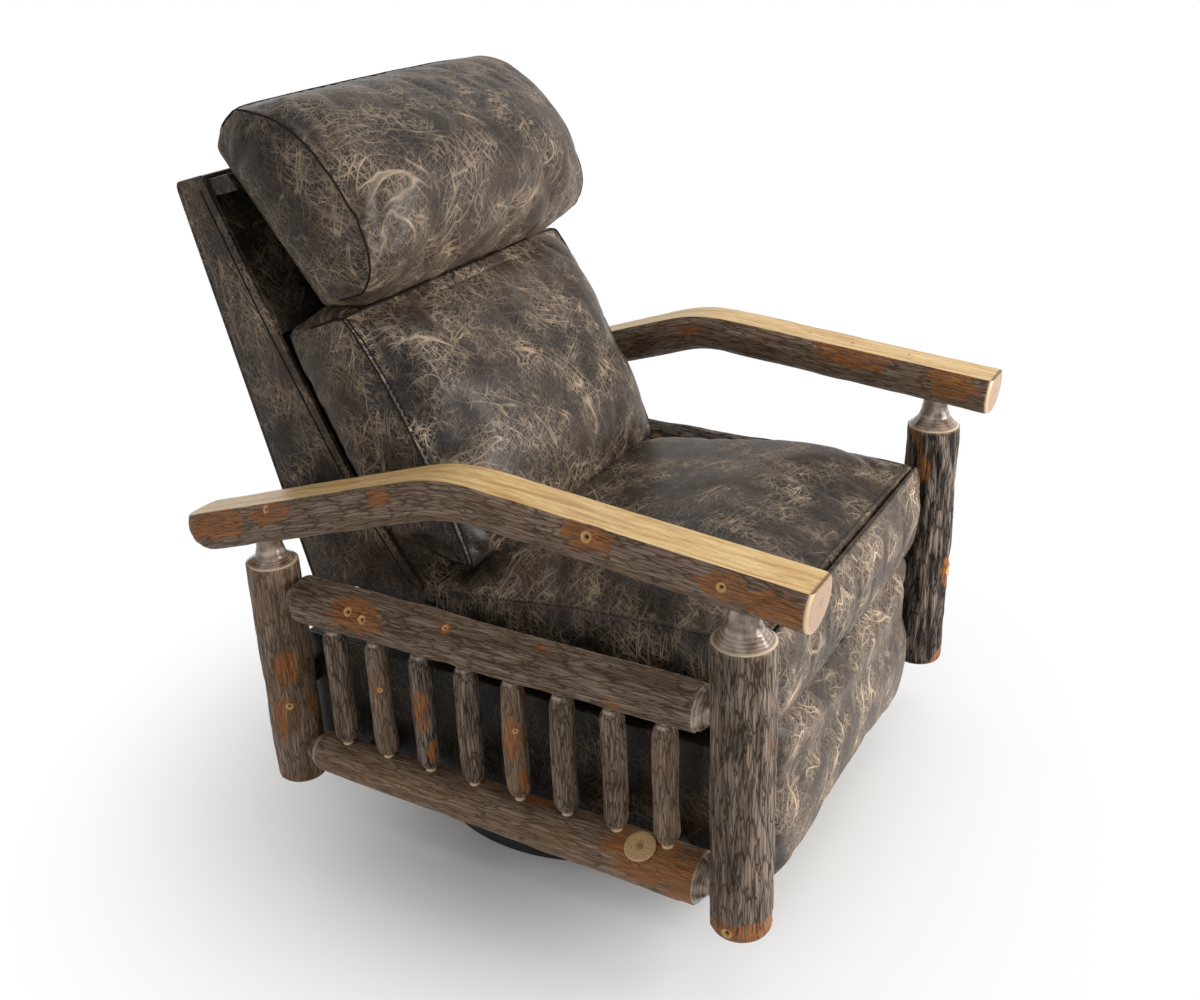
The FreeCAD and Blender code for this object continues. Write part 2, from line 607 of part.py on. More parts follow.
def log_frame():
    mortise = TENON_D + 2 * GLUE_GAP
    front = log_post(ARM_OVER_FRONT, FRONT_POST_D, FRONT_BARK_TOP, FRONT_NECK, ARM_FRONT_SLOPE)
    rear = log_post(ARM_OVER_REAR, REAR_POST_D, REAR_BARK_TOP, REAR_NECK, ARM_REAR_SLOPE)
    for name, (z, front_radius, rear_radius) in RAILS.items():
        reach = TENON_DEPTH + GLUE_GAP
        front = front.cut(rod(V(POST_X, RAIL_FRONT_Y - reach, z), V(POST_X, RAIL_FRONT_Y, z), mortise))
        rear = rear.cut(rod(V(POST_X, RAIL_REAR_Y, z), V(POST_X, RAIL_REAR_Y + reach, z), mortise))
        tenon = TENON_D / 2
        end = RAIL_RUN
        rail = turned([
            (-TENON_DEPTH, tenon), (0, tenon), (RAIL_SHOULDER, front_radius),
            (end - RAIL_SHOULDER, rear_radius), (end, tenon), (end + TENON_DEPTH, tenon),
        ], V(POST_X, RAIL_FRONT_Y, z), V(0, 1, 0))
        for y in SPINDLE_PLACES:
            side = -1 if name == "upper_rail" else 1
            surface = z + side * rail_radius(name, y)
            bottom = V(POST_X, y, surface - side * (SPINDLE_TENON_DEPTH + GLUE_GAP))
            mouth = V(POST_X, y, surface + side * SPINDLE_TENON_DEPTH)
            rail = rail.cut(rod(bottom, mouth, SPINDLE_TENON_D + 2 * GLUE_GAP))
        for cut in bolt_cutter(name):
            rail = rail.cut(cut)
        pair(name, rail)
    for cut in bolt_cutter("rear_post"):
        rear = rear.cut(cut)
    pair("front_post", front)
    pair("rear_post", rear)

    spindles = []
    for y in SPINDLE_PLACES:
        shoulder = SPINDLE_SHOULDER_D / 2
        low = LOWER_RAIL_Z + rail_radius("lower_rail", y - shoulder) + GLUE_GAP
        high = UPPER_RAIL_Z - rail_radius("upper_rail", y + shoulder) - GLUE_GAP
        tip = SPINDLE_TENON_D / 2
        stick = SPINDLE_D / 2
        spindles.append(turned([
            (low - SPINDLE_TENON_DEPTH, tip), (low, tip), (low, shoulder), (low + SPINDLE_TAPER, stick),
            (high - SPINDLE_TAPER, stick), (high, shoulder), (high, tip), (high + SPINDLE_TENON_DEPTH, tip),
        ], V(POST_X, y, 0), V(0, 0, 1)))
    pair("spindles", Part.makeCompound(spindles))
    pair("arm_rest", arm_log(mortise))


def arm_half(start, end):
    """A straight length of the planed log along its axis, and that axis' direction."""
    a = V(POST_X, start[0], start[1])
    along = (V(POST_X, end[0], end[1]) - a).normalize()
    up = V(0, -along.z, along.y) if along.y > 0 else V(0, along.z, -along.y)
    flat = math.sqrt(ARM_R ** 2 - ARM_FLAT_RISE ** 2)
    across = V(1, 0, 0)
    left = a + across * flat + up * ARM_FLAT_RISE
    right = a - across * flat + up * ARM_FLAT_RISE
    profile = Part.Wire([Part.makeLine(right, left), Part.Arc(left, a - up * ARM_R, right).toShape()])
    run = math.hypot(end[0] - start[0], end[1] - start[1])
    return Part.Face(profile).extrude(along * (run + ARM_LOG_D)), along


def arm_log(mortise):
    """The arm: two lengths of log mitred at the bend, with mortises for the two posts."""
    front, forward = arm_half(ARM_FRONT_END, ARM_BEND)
    rear, backward = arm_half(ARM_REAR_END, ARM_BEND)
    bend = V(POST_X, ARM_BEND[0], ARM_BEND[1])
    mitre = (forward - backward).normalize()
    reach = ARM_FRONT_OVERHANG + POST_SPACING + ARM_REAR_OVERHANG
    wall = Part.makePlane(reach, reach, V(0, 0, 0), mitre)
    wall.translate(bend - wall.CenterOfMass)
    arm = front.cut(wall.extrude(mitre * reach)).fuse(rear.cut(wall.extrude(mitre * -reach))).removeSplitter()
    tip = V(POST_X, ARM_FRONT_END[0], ARM_FRONT_END[1])
    tail = V(POST_X, ARM_REAR_END[0], ARM_REAR_END[1])
    front_edges = [e for e in arm.Edges if abs((e.CenterOfMass - tip).dot(forward)) < GLUE_GAP]
    arm = arm.makeChamfer(ARM_FRONT_CHAMFER, front_edges)
    rear_edges = [e for e in arm.Edges if abs((e.CenterOfMass - tail).dot(backward)) < GLUE_GAP]
    arm = arm.makeFillet(ARM_REAR_ROUND, rear_edges)
    for y, z in (ARM_OVER_FRONT, ARM_OVER_REAR):
        depth = z - ARM_TENON_TOP + GLUE_GAP
        arm = arm.cut(rod(V(POST_X, y, z - ARM_LOG_D), V(POST_X, y, depth), mortise))
    return arm


def seat_box():
    bolt_hole = FRAME_BOLT_D + 2 * BOLT_HOLE_CLEARANCE
    spacer_hole = SPACER_D + 2 * BOLT_HOLE_CLEARANCE
    board = block((BOARD_INNER, BOX_HALF), (BOX_FRONT_Y, BOX_REAR_Y), (BOX_BOTTOM, BOX_TOP))
    cover = block((BOX_HALF, COVER_OUTER), (BOX_FRONT_Y, BOX_REAR_Y), (BOX_BOTTOM, BOX_TOP))
    spacers = []
    bolts = []
    for y, log in FRAME_BOLTS:
        z, seat = bolt_place(y, log)
        board = board.cut(stud((y, z), bolt_hole, (BOARD_INNER, BOX_HALF)))
        cover = cover.cut(stud((y, z), spacer_hole, (BOX_HALF, COVER_OUTER)))
        sleeve = stud((y, z), SPACER_D, (BOX_HALF, seat)).cut(stud((y, z), bolt_hole, (BOX_HALF, seat)))
        spacers += both_sides(sleeve)
        shank = stud((y, z), FRAME_BOLT_D, (BOARD_INNER, seat + FRAME_BOLT_GRIP - BOLT_HOLE_CLEARANCE))
        head = stud((y, z), FRAME_BOLT_HEAD_D, (BOARD_INNER - FRAME_BOLT_HEAD_H, BOARD_INNER))
        bolts += both_sides(shank.fuse(head))
    pair("side_board", board)
    pair("side_panel", cover)
    save("frame_spacers", *spacers)
    save("frame_bolts", *bolts)
    front = CARRIAGE_TAB_REAR_Y + FRONT_STRETCHER_GAP
    across = (-BOARD_INNER, BOARD_INNER)
    front_z = (BOX_BOTTOM, BOX_BOTTOM + FRONT_STRETCHER_H)
    rear_z = (BOX_BOTTOM, BOX_BOTTOM + REAR_STRETCHER_H)
    save("front_stretcher", block(across, (front, front + STRETCHER_T), front_z))
    save("rear_stretcher", block(across, (BOX_REAR_Y - STRETCHER_T, BOX_REAR_Y), rear_z))


# Carriage plates ride in the slots of the guide plates
GUIDE_STUD_Z = LINK_ROOT_Z - GUIDE_STUD_DROP
GUIDE_STUDS = [(LINK_ROOT[0] + place, GUIDE_STUD_Z) for place in (GUIDE_FRONT_STUD, GUIDE_REAR_STUD)]
SLIDE = (-math.cos(math.radians(SLIDE_RISE_ANGLE)), math.sin(math.radians(SLIDE_RISE_ANGLE)))
CARRIAGE_BOTTOM = LINK_ROOT_Z - CARRIAGE_BELOW_LINK
CARRIAGE_TAB_FRONT_Y = LINK_ROOT[0] - CARRIAGE_TAB_FRONT
CARRIAGE_TAB_REAR_Y = CARRIAGE_TAB_FRONT_Y + CARRIAGE_TAB_W
CARRIAGE_EAR_REAR_Y = BACK_PIVOT[0] + CARRIAGE_EAR_W / 2


def guide_plates():
    front = GUIDE_STUDS[0][0] - SLIDE_TRAVEL - GUIDE_PLATE_END
    rear = GUIDE_STUDS[1][0] + GUIDE_PLATE_END
    plate = block(GUIDE_X, (front, rear), (BOX_TOP - GUIDE_PLATE_H, BOX_TOP))
    for y, z in GUIDE_STUDS:
        far = (y + SLIDE_TRAVEL * SLIDE[0], z + SLIDE_TRAVEL * SLIDE[1])
        plate = plate.cut(flat_bar((y, z), far, GUIDE_STUD_D + 2 * SLOT_CLEARANCE, GUIDE_X))
    save("guide_plates", *both_sides(plate))


def carriage_plates():
    top = CARRIAGE_BOTTOM + CARRIAGE_H
    ear_front = BACK_PIVOT[0] - CARRIAGE_EAR_W / 2
    tab_bottom = REAR_SLIDER[1] - LINK_W
    plate = prism([
        (CARRIAGE_TAB_FRONT_Y, tab_bottom), (CARRIAGE_TAB_REAR_Y, tab_bottom),
        (CARRIAGE_TAB_REAR_Y, CARRIAGE_BOTTOM), (CARRIAGE_EAR_REAR_Y, CARRIAGE_BOTTOM),
        (CARRIAGE_EAR_REAR_Y, BACK_PIVOT[1]), (ear_front, BACK_PIVOT[1]),
        (ear_front, top), (CARRIAGE_TAB_FRONT_Y, top),
    ], CARRIAGE_X)
    plate = plate.fuse(stud(BACK_PIVOT, CARRIAGE_EAR_W, CARRIAGE_X))
    slot_width = LINK_STUD_D + 2 * SLOT_CLEARANCE
    plate = plate.cut(flat_bar(REAR_SLIDER, REAR_SLIDER_OPEN, slot_width, CARRIAGE_X))
    inward = DOWN_X[0] - LINK_STUD_END
    plate = plate.fuse(stud(LINK_ROOT, LINK_STUD_D, (inward, CARRIAGE_X[1])))
    plate = plate.fuse(stud(BACK_PIVOT, BACK_PIVOT_STUD_D, (inward, CARRIAGE_X[1])))
    for place in GUIDE_STUDS:
        plate = plate.fuse(stud(place, GUIDE_STUD_D, (CARRIAGE_X[0], GUIDE_X[1] - SLOT_CLEARANCE)))
    pair("carriage_plate", plate.removeSplitter())


def link(start, end, x, studs, holes):
    """A scissor link with its riveted studs and its pivot holes."""
    bar = flat_bar(start, end, LINK_W, x)
    for place in holes:
        bar = bar.cut(stud(place, LINK_STUD_D + 2 * PIVOT_CLEARANCE, x))
    for place, reach in studs:
        bar = bar.fuse(stud(place, LINK_STUD_D, reach))
    return bar.removeSplitter()


def scissor_links():
    to_up = (UP_X[0] - LINK_STUD_END, DOWN_X[1])
    to_down = (UP_X[0], DOWN_X[1] + LINK_STUD_END)
    to_carriage = (UP_X[0], CARRIAGE_X[1] + LINK_STUD_END)
    to_bracket = (BRACKET_X[0] - LINK_STUD_END, UP_X[1])
    to_tilt = (TILT_X[0] - LINK_STUD_END, DOWN_X[1])
    rear_down_studs = [(REAR_CROSS, to_up), (MID_LOW, to_up)]
    rear_up_studs = [(REAR_SLIDER, to_carriage), (MID_HIGH, to_down)]
    front_down_studs = [(FRONT_CROSS, to_up), (FRONT_LOW, to_tilt)]
    front_up_studs = [(FRONT_HIGH, to_bracket)]
    rear_down = link(LINK_ROOT, MID_LOW, DOWN_X, rear_down_studs, [LINK_ROOT])
    rear_up = link(REAR_SLIDER, MID_HIGH, UP_X, rear_up_studs, [REAR_CROSS])
    front_down = link(MID_HIGH, FRONT_LOW, DOWN_X, front_down_studs, [MID_HIGH])
    front_up = link(MID_LOW, FRONT_HIGH, UP_X, front_up_studs, [MID_LOW, FRONT_CROSS])
    save("rear_down_links", *both_sides(rear_down))
    save("rear_up_links", *both_sides(rear_up))
    save("front_down_links", *both_sides(front_down))
    save("front_up_links", *both_sides(front_up))

    tilt = flat_bar(FRONT_LOW, TILT_PIN, TILT_LINK_W, TILT_X)
    for place in (FRONT_LOW, TILT_PIN):
        tilt = tilt.cut(stud(place, LINK_STUD_D + 2 * PIVOT_CLEARANCE, TILT_X))
    save("tilt_links", *both_sides(tilt))

    across = (-DOWN_X[0], DOWN_X[0])
    save("link_cross_tube", stud(LINK_ROOT, LINK_TUBE_D, across).cut(stud(LINK_ROOT, LINK_TUBE_BORE, across)))


def footrest():
    flange_front = FOOT_BOARD_REAR_Y
    bracket_top = FRONT_HIGH[1] + BRACKET_TOP
    web_rear = FRONT_HIGH[0] + LINK_W / 2
    web = prism([
        (flange_front, bracket_top), (web_rear, bracket_top), (web_rear, FRONT_HIGH[1] - LINK_W / 2),
        (TILT_PIN[0] + LINK_W / 2, TILT_PIN[1] - LINK_W), (flange_front, bracket_top - BRACKET_H),
    ], BRACKET_X)
    web = web.cut(stud(FRONT_HIGH, LINK_STUD_D + 2 * PIVOT_CLEARANCE, BRACKET_X))
    web = web.cut(stud(TILT_PIN, LINK_STUD_D + 2 * PIVOT_CLEARANCE, BRACKET_X))
    flange = block(
        (BRACKET_X[1] - BRACKET_FLANGE_W, BRACKET_X[1]),
        (flange_front, flange_front + BRACKET_FLANGE_T),
        (bracket_top - BRACKET_H, bracket_top),
    )
    save("footrest_brackets", *both_sides(web.fuse(flange).removeSplitter()))

    margin = FOOT_BOARD_MARGIN
    half = FOOT_HALF - margin
    board_z = (FOOTREST_BOTTOM + margin, FOOTREST_TOP - margin)
    board = block((-half, half), (FOOT_BOARD_FRONT_Y, FOOT_BOARD_REAR_Y), board_z)
    lower = [e for e in board.Edges if abs(e.CenterOfMass.z - board_z[0]) < GLUE_GAP]
    corners = [e for e in lower if abs(abs(e.CenterOfMass.x) - half) < GLUE_GAP]
    save("footrest_board", board.makeFillet(FOOT_PAD_CORNER, corners))

    rear = FOOT_BOARD_FRONT_Y
    sections = []
    for share, up, cut, drawn, thickness, crown in FOOT_PAD_SECTIONS:
        z = FOOTREST_BOTTOM + FOOTREST_H * share + FOOT_PAD_CORNER * up
        half = FOOT_HALF - FOOT_PAD_CORNER * cut - FOOT_PAD_CROWN * drawn
        front = rear - FOOT_PAD_T * thickness
        corners = (V(-half, rear, z), V(half, rear, z), V(half, front, z), V(-half, front, z))
        sections.append((corners, V(0, front - FOOT_PAD_CROWN * crown, z), FOOT_PAD_SIDE_BULGE))
    save("footrest_pad", padded(sections))


def seat_frame():
    rail_rear = (SEAT_REAR_Y - SEAT_RAIL_T, SEAT_REAR_Y)
    rail_z = (SEAT_RAIL_BOTTOM, SEAT_RAIL_TOP)
    inner = CARRIAGE_X[0] - SEAT_RAIL_T
    front_y = BORDER_REAR_Y
    side = block((inner, CARRIAGE_X[0]), (front_y + SEAT_RAIL_T, SEAT_REAR_Y), rail_z)
    pair("seat_side_rail", side)
    across = (-inner, inner)
    wide = (-CARRIAGE_X[0], CARRIAGE_X[0])
    low = SEAT_RAIL_TOP - SEAT_FRONT_RAIL_H
    save("seat_front_rail", block(wide, (front_y, front_y + SEAT_RAIL_T), (low, SEAT_RAIL_TOP)))
    save("seat_rear_rail", block(across, rail_rear, rail_z))

    half = SEAT_SPRING_WIRE / 2
    springs = []
    start = front_y + SEAT_RAIL_T / 2
    run = rail_rear[0] + SEAT_RAIL_T / 2 - start
    turns = int(run // SEAT_SPRING_PITCH)
    pitch = run / turns
    for number in range(SEAT_SPRING_COUNT):
        x = SEAT_SPRING_SPACING * (number - (SEAT_SPRING_COUNT - 1) / 2)
        edges = []
        here = V(x, start, SEAT_RAIL_TOP)
        for turn in range(turns):
            sign = 1 if turn % 2 else -1
            end = V(x, start + pitch * (turn + 1), SEAT_RAIL_TOP)
            bow = V(x + sign * SEAT_SPRING_LOOP, start + pitch * (turn + 0.5), SEAT_RAIL_TOP)
            edges.append(Part.Arc(here, bow, end).toShape())
            here = end
        face = Part.Wire(edges).makeOffset2D(half, 0, True, True)
        springs.append(face.extrude(V(0, 0, SEAT_SPRING_WIRE)))
    save("seat_springs", *springs)


def seat_upholstery():
    half = SEAT_HALF - SEAT_SIDE_BULGE
    low = CUSHION_BOTTOM
    drop = SEAT_FRONT_H - SEAT_REAR_H
    run = SEAT_REAR_Y - BORDER_REAR_Y
    sections = []
    for share, drawn, fall, crown in SEAT_SECTIONS:
        y = BORDER_REAR_Y + run * share
        width = half - SEAT_DRAW_IN * drawn
        top = low + SEAT_FRONT_H - drop * fall
        corners = (V(-width, y, low), V(width, y, low), V(width, y, top), V(-width, y, top))
        sections.append((corners, V(0, y, top + SEAT_CROWN * crown), SEAT_SIDE_BULGE))
    save("seat_cushion", padded(sections))

    height = SEAT_FRONT_H + BORDER_DROP
    border = []
    rear = BORDER_REAR_Y
    for share, bulge, drawn in BORDER_SECTIONS:
        z = BORDER_BOTTOM + height * share
        width = half - SEAT_DRAW_IN * drawn
        front = SEAT_FRONT_Y + BORDER_CROWN + BORDER_BULGE * (1 - bulge)
        corners = (V(-width, rear, z), V(width, rear, z), V(width, front, z), V(-width, front, z))
        border.append((corners, V(0, front - BORDER_CROWN, z), BORDER_SIDE_BULGE))
    save("seat_front_border", padded(border))


def back_frame():
    stile_x = (DOWN_X[0] - STILE_T, DOWN_X[0])
    head = BACK_LENGTH - BACK_COVER_T - STILE_HEAD
    stile = [(STILE_FOOT, BACK_COVER_T), (head, BACK_COVER_T), (head, STILE_FRONT), (STILE_FOOT, STILE_FRONT)]
    pair("back_stile", back_prism(stile, stile_x))
    across = (-stile_x[0], stile_x[0])
    middle = BACK_MID_STATION - BACK_RAIL_H / 2
    for name, low in (("bottom", STILE_FOOT), ("middle", middle), ("top", head - BACK_RAIL_H)):
        high = low + BACK_RAIL_H
        rail = [(low, BACK_COVER_T), (high, BACK_COVER_T), (high, STILE_FRONT), (low, STILE_FRONT)]
        save("back_%s_rail" % name, back_prism(rail, across))

    straps = []
    web_front = STILE_FRONT + WEBBING_T
    core_low = BACK_LOW_STATION + CORE_SIDE_GAP
    clear = (BACK_MID_STATION - core_low) / WEBBING_COUNT
    for number in range(WEBBING_COUNT):
        low = core_low + clear * (number + 0.5) - WEBBING_W / 2
        high = low + WEBBING_W
        strap = [(low, STILE_FRONT), (high, STILE_FRONT), (high, web_front), (low, web_front)]
        straps.append(back_prism(strap, (-stile_x[1], stile_x[1])))
    save("back_webbing", *straps)

    core_half = COVER_INNER_HALF - CORE_SIDE_GAP
    core = [
        (core_low, web_front), (BACK_MID_STATION, web_front),
        (BACK_MID_STATION, BACK_MID_DEPTH), (BACK_BEND_STATION, BACK_BEND_DEPTH),
        (core_low, back_front(core_low)),
    ]
    save("back_foam_core", back_prism(core, (-core_half, core_half)))

    pad_low = BACK_MID_STATION + WEBBING_T
    pad_high = BACK_LENGTH - BACK_COVER_T - SOFT_GAP
    bridge_low = pad_high - BRIDGE_H
    pad = [
        (pad_low, STILE_FRONT), (head, STILE_FRONT), (pad_high, back_front(pad_high)),
        (pad_high, headrest_rear(pad_high) - SOFT_GAP), (bridge_low, headrest_rear(bridge_low) - SOFT_GAP),
        (bridge_low, back_front(bridge_low)), (pad_low, back_front(pad_low)),
    ]
    pad_half = COVER_INNER_HALF - SOFT_GAP
    save("back_upper_pad", back_prism(pad, (-pad_half, pad_half)))

    shell = [(0, 0), (BACK_LENGTH, 0), *reversed(BACK_EDGE)]
    ceiling = BACK_LENGTH - BACK_COVER_T
    hollow = [
        (-BACK_SKIRT_DEPTH, BACK_COVER_T), (ceiling, BACK_COVER_T), (ceiling, BACK_LENGTH),
        (-BACK_SKIRT_DEPTH, BACK_LENGTH),
    ]
    cover = back_prism(shell, (-BACK_HALF, BACK_HALF))
    save("back_cover", cover.cut(back_prism(hollow, (-COVER_INNER_HALF, COVER_INNER_HALF))))

    low_rear = on_back(STILE_FOOT, BACK_COVER_T)
    low_front = on_back(STILE_FOOT, STILE_FRONT)
    lap = STILE_FOOT + BACK_BRACKET_LAP
    hip = BACK_BRACKET_W / 2
    arm = prism([
        (BACK_PIVOT[0], BACK_PIVOT[1] - hip), low_rear, on_back(lap, BACK_COVER_T), on_back(lap, STILE_FRONT),
        (low_front[0], low_front[1] + BACK_BRACKET_W), (BACK_PIVOT[0], BACK_PIVOT[1] + hip),
    ], DOWN_X)
    arm = arm.fuse(stud(BACK_PIVOT, BACK_BRACKET_W, DOWN_X)).removeSplitter()
    arm = arm.cut(stud(BACK_PIVOT, BACK_PIVOT_STUD_D + 2 * PIVOT_CLEARANCE, DOWN_X))
    save("back_brackets", *both_sides(arm))


# The bolster leans back over the shell's top edge
HEADREST_FOOT = BACK_MID_STATION + HEADREST_FOOT_GAP


def headrest_rear(station):
    """The depth of the bolster's rear face at a station."""
    share = (station - HEADREST_FOOT) / HEADREST_LENGTH
    return HEADREST_REAR_LOW + (HEADREST_REAR_HIGH - HEADREST_REAR_LOW) * share


def back_cushions():
    half = BACK_HALF - BACK_SIDE_BULGE
    low = BACK_LOW_STATION
    run = BACK_MID_STATION - low
    sections = []
    for share, drop, drawn, crown in LUMBAR_SECTIONS:
        station = low + run * share
        rear = (station, back_front(station) + LUMBAR_REAR_GAP)
        swell = LUMBAR_SWELL * math.sin(math.pi * share)
        reach = LUMBAR_LOW_REACH + (LUMBAR_REACH - LUMBAR_LOW_REACH) * share + swell
        front = (station - LUMBAR_FOOT * drop, reach)
        sections.append(back_section(rear, front, half - LUMBAR_DRAW_IN * drawn, LUMBAR_CROWN * crown))
    save("lumbar_cushion", padded(sections))

    sections = []
    for share, forward, lift, drawn, crown in HEADREST_SECTIONS:
        station = HEADREST_FOOT + HEADREST_LENGTH * share
        rear = (station, headrest_rear(station))
        front = (station + HEADREST_LENGTH * lift, rear[1] + HEADREST_DEPTH * forward)
        sections.append(back_section(rear, front, half - HEADREST_DRAW_IN * drawn, HEADREST_CROWN * crown))
    save("headrest_bolster", padded(sections))


def main():
    os.makedirs("parts", exist_ok=True)
    floor_base()
    swivel_bearing()
    seat_box()
    log_frame()
    guide_plates()
    carriage_plates()
    scissor_links()
    footrest()
    seat_frame()
    seat_upholstery()
    back_frame()
    back_cushions()


main()
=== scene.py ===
"""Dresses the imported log-frame swivel recliner: bark logs, planed arms and distressed leather."""

import math

import bmesh
import bpy
import numpy as np
from bpy.props import FloatProperty, FloatVectorProperty, PointerProperty
from bpy.types import Operator, Panel, PropertyGroup
from mathutils import Matrix, Vector, noise
from mathutils.kdtree import KDTree


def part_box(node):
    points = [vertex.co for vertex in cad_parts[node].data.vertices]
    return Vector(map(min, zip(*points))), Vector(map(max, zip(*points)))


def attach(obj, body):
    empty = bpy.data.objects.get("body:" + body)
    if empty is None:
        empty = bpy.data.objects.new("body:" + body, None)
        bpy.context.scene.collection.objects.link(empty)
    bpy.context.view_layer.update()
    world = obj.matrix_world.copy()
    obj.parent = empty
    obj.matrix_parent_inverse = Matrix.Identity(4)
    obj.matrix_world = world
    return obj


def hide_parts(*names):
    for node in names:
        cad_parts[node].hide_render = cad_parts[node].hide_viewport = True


bl_info = {
    "name": "Log-frame recliner looks",
    "version": (1, 0, 0),
    "blender": (4, 5, 0),
    "location": "View3D > Sidebar > Recliner",
    "description": "Bark logs, planed arms and distressed leather around a packed recliner frame",
    "category": "Object",
}

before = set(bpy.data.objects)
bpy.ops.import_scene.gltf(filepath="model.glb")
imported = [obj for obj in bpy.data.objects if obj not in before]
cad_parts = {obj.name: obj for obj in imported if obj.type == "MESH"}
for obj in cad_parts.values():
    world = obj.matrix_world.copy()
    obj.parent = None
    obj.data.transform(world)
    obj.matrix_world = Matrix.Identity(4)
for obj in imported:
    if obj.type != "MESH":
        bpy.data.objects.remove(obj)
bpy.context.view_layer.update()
MM = 0.001
SIDES = {"left": 1, "right": -1}


def linear(code):
    """A six-digit sRGB hex colour as linear RGBA."""
    channels = [int(code[i:i + 2], 16) / 255 for i in (0, 2, 4)]
    return tuple(c / 12.92 if c <= 0.04045 else ((c + 0.055) / 1.055) ** 2.4 for c in channels) + (1.0,)


def smooth_step(low, high, value):
    share = min(max((value - low) / (high - low), 0.0), 1.0)
    return share * share * (3 - 2 * share)


# Sizes of the logs, in millimetres from the floor or from each log's front or foot
POST_X = 374.5
LOG_FOOT = 105.0
POSTS = {"front": (-404.0, 41.0, 430.0, 38.4), "rear": (340.0, 38.0, 368.0, 26.0)}
TENON_R = 19.0
TENON_REACH = 30.0
RAIL_START = -363.0
RAIL_RUN = 665.0
RAILS = {"upper": (423.0, 32.0, 35.0), "lower": (158.0, 37.0, 30.0)}
RAIL_SHOULDER = 17.0
SPINDLE_COUNT = 8
SPINDLE_FIRST = -297.45
SPINDLE_PITCH = 76.7
SPINDLE_R = 17.5
ARM_R = 39.0
ARM_FLAT = 25.0
ARM_NOSE = 16.0
ARM_FRONT = (-497.1, 607.1)
ARM_BEND = (2.0, 655.0)
ARM_REAR = (462.0, 506.7)
ARM_EASE = 70.0
BEND_STEPS = 400


class LogLooks(PropertyGroup):
    """Bark and timber of the log frame."""

    ridge_spacing: FloatProperty(
        name="Ridge spacing", description="Distance between bark furrows", default=9.0 * MM, unit="LENGTH")
    ridge_run: FloatProperty(
        name="Ridge length", description="Length of one bark ridge", default=62.0 * MM, unit="LENGTH")
    bark_depth: FloatProperty(
        name="Bark depth", description="Depth of the furrows", default=2.6 * MM, unit="LENGTH")
    # Furrow colour: partly the bark's own, partly painted shade deep in the furrows
    furrow: FloatVectorProperty(
        name="Furrow", description="Colour deep in the bark", subtype="COLOR", size=4,
        default=linear("120d0a"))
    ridge: FloatVectorProperty(
        name="Ridge", description="Colour of the weathered ridges", subtype="COLOR", size=4,
        default=linear("917f70"))
    inner_bark: FloatVectorProperty(
        name="Inner bark", description="Colour where the outer bark is rubbed off", subtype="COLOR", size=4,
        default=linear("b4763e"))
    planed: FloatVectorProperty(
        name="Planed wood", description="Colour of the planed arm tops", subtype="COLOR", size=4,
        default=linear("d9b478"))


class LeatherLooks(PropertyGroup):
    """Distressed leather of the cushions and the shell."""

    base: FloatVectorProperty(
        name="Leather", description="Dark colour of the hide", subtype="COLOR", size=4,
        default=linear("0d0907"))
    rubbed: FloatVectorProperty(
        name="Rubbed leather", description="Colour where the finish is worn", subtype="COLOR", size=4,
        default=linear("3d322b"))
    crackle: FloatVectorProperty(
        name="Crackle", description="Colour of the fine cracks", subtype="COLOR", size=4,
        default=linear("bca58b"))
    welt_radius: FloatProperty(
        name="Welt radius", description="Radius of the piped seams", default=3.2 * MM, unit="LENGTH")


class StageLooks(PropertyGroup):
    """Camera and floor of the studio."""

    camera_place: FloatVectorProperty(
        name="Camera place", description="Where the camera stands", subtype="XYZ", unit="LENGTH",
        default=(-1.6324, -0.9533, 1.3569))
    azimuth: FloatProperty(
        name="Azimuth", description="Camera's bearing", subtype="ANGLE", default=math.radians(-59.587))
    elevation: FloatProperty(
        name="Elevation", description="Camera's height angle", subtype="ANGLE", default=math.radians(24.912))
    roll: FloatProperty(
        name="Roll", description="Camera's roll", subtype="ANGLE", default=math.radians(-2.233))
    lens: FloatProperty(
        name="Lens", description="Focal length on a 36 mm sensor", subtype="DISTANCE_CAMERA", default=40.344)
    floor: FloatVectorProperty(
        name="Floor", description="Colour of the floor", subtype="COLOR", size=4, default=linear("efeeec"))


# Materials


def new_material(name):
    """A material with nodes, and its shader node."""
    material = bpy.data.materials.new(name)
    material.use_nodes = True
    return material, material.node_tree.nodes["Principled BSDF"]


def add_node(tree, kind, links=(), **settings):
    """Adds a node: links are (input, value or socket) pairs, settings are its own properties."""
    made = tree.nodes.new(kind)
    for key, value in settings.items():
        setattr(made, key, value)
    for key, value in links:
        if isinstance(value, bpy.types.NodeSocket):
            tree.links.new(value, made.inputs[key])
        else:
            made.inputs[key].default_value = value
    return made


def colour_stops(ramp, stops):
    """Sets a colour ramp's stops from (place, hex or linear colour) pairs."""
    elements = ramp.color_ramp.elements
    while len(elements) < len(stops):
        elements.new(1.0)
    for element, (place, colour) in zip(elements, stops):
        element.position = place
        element.color = linear(colour) if isinstance(colour, str) else colour
    return ramp


def millimetres(tree):
    """Object coordinates in millimetres, so that a pattern's scale is one over its real size."""
    place = add_node(tree, "ShaderNodeTexCoord")
    return add_node(tree, "ShaderNodeVectorMath", [(0, place.outputs["Object"]), ("Scale", 1 / MM)],
                    operation="SCALE").outputs[0]


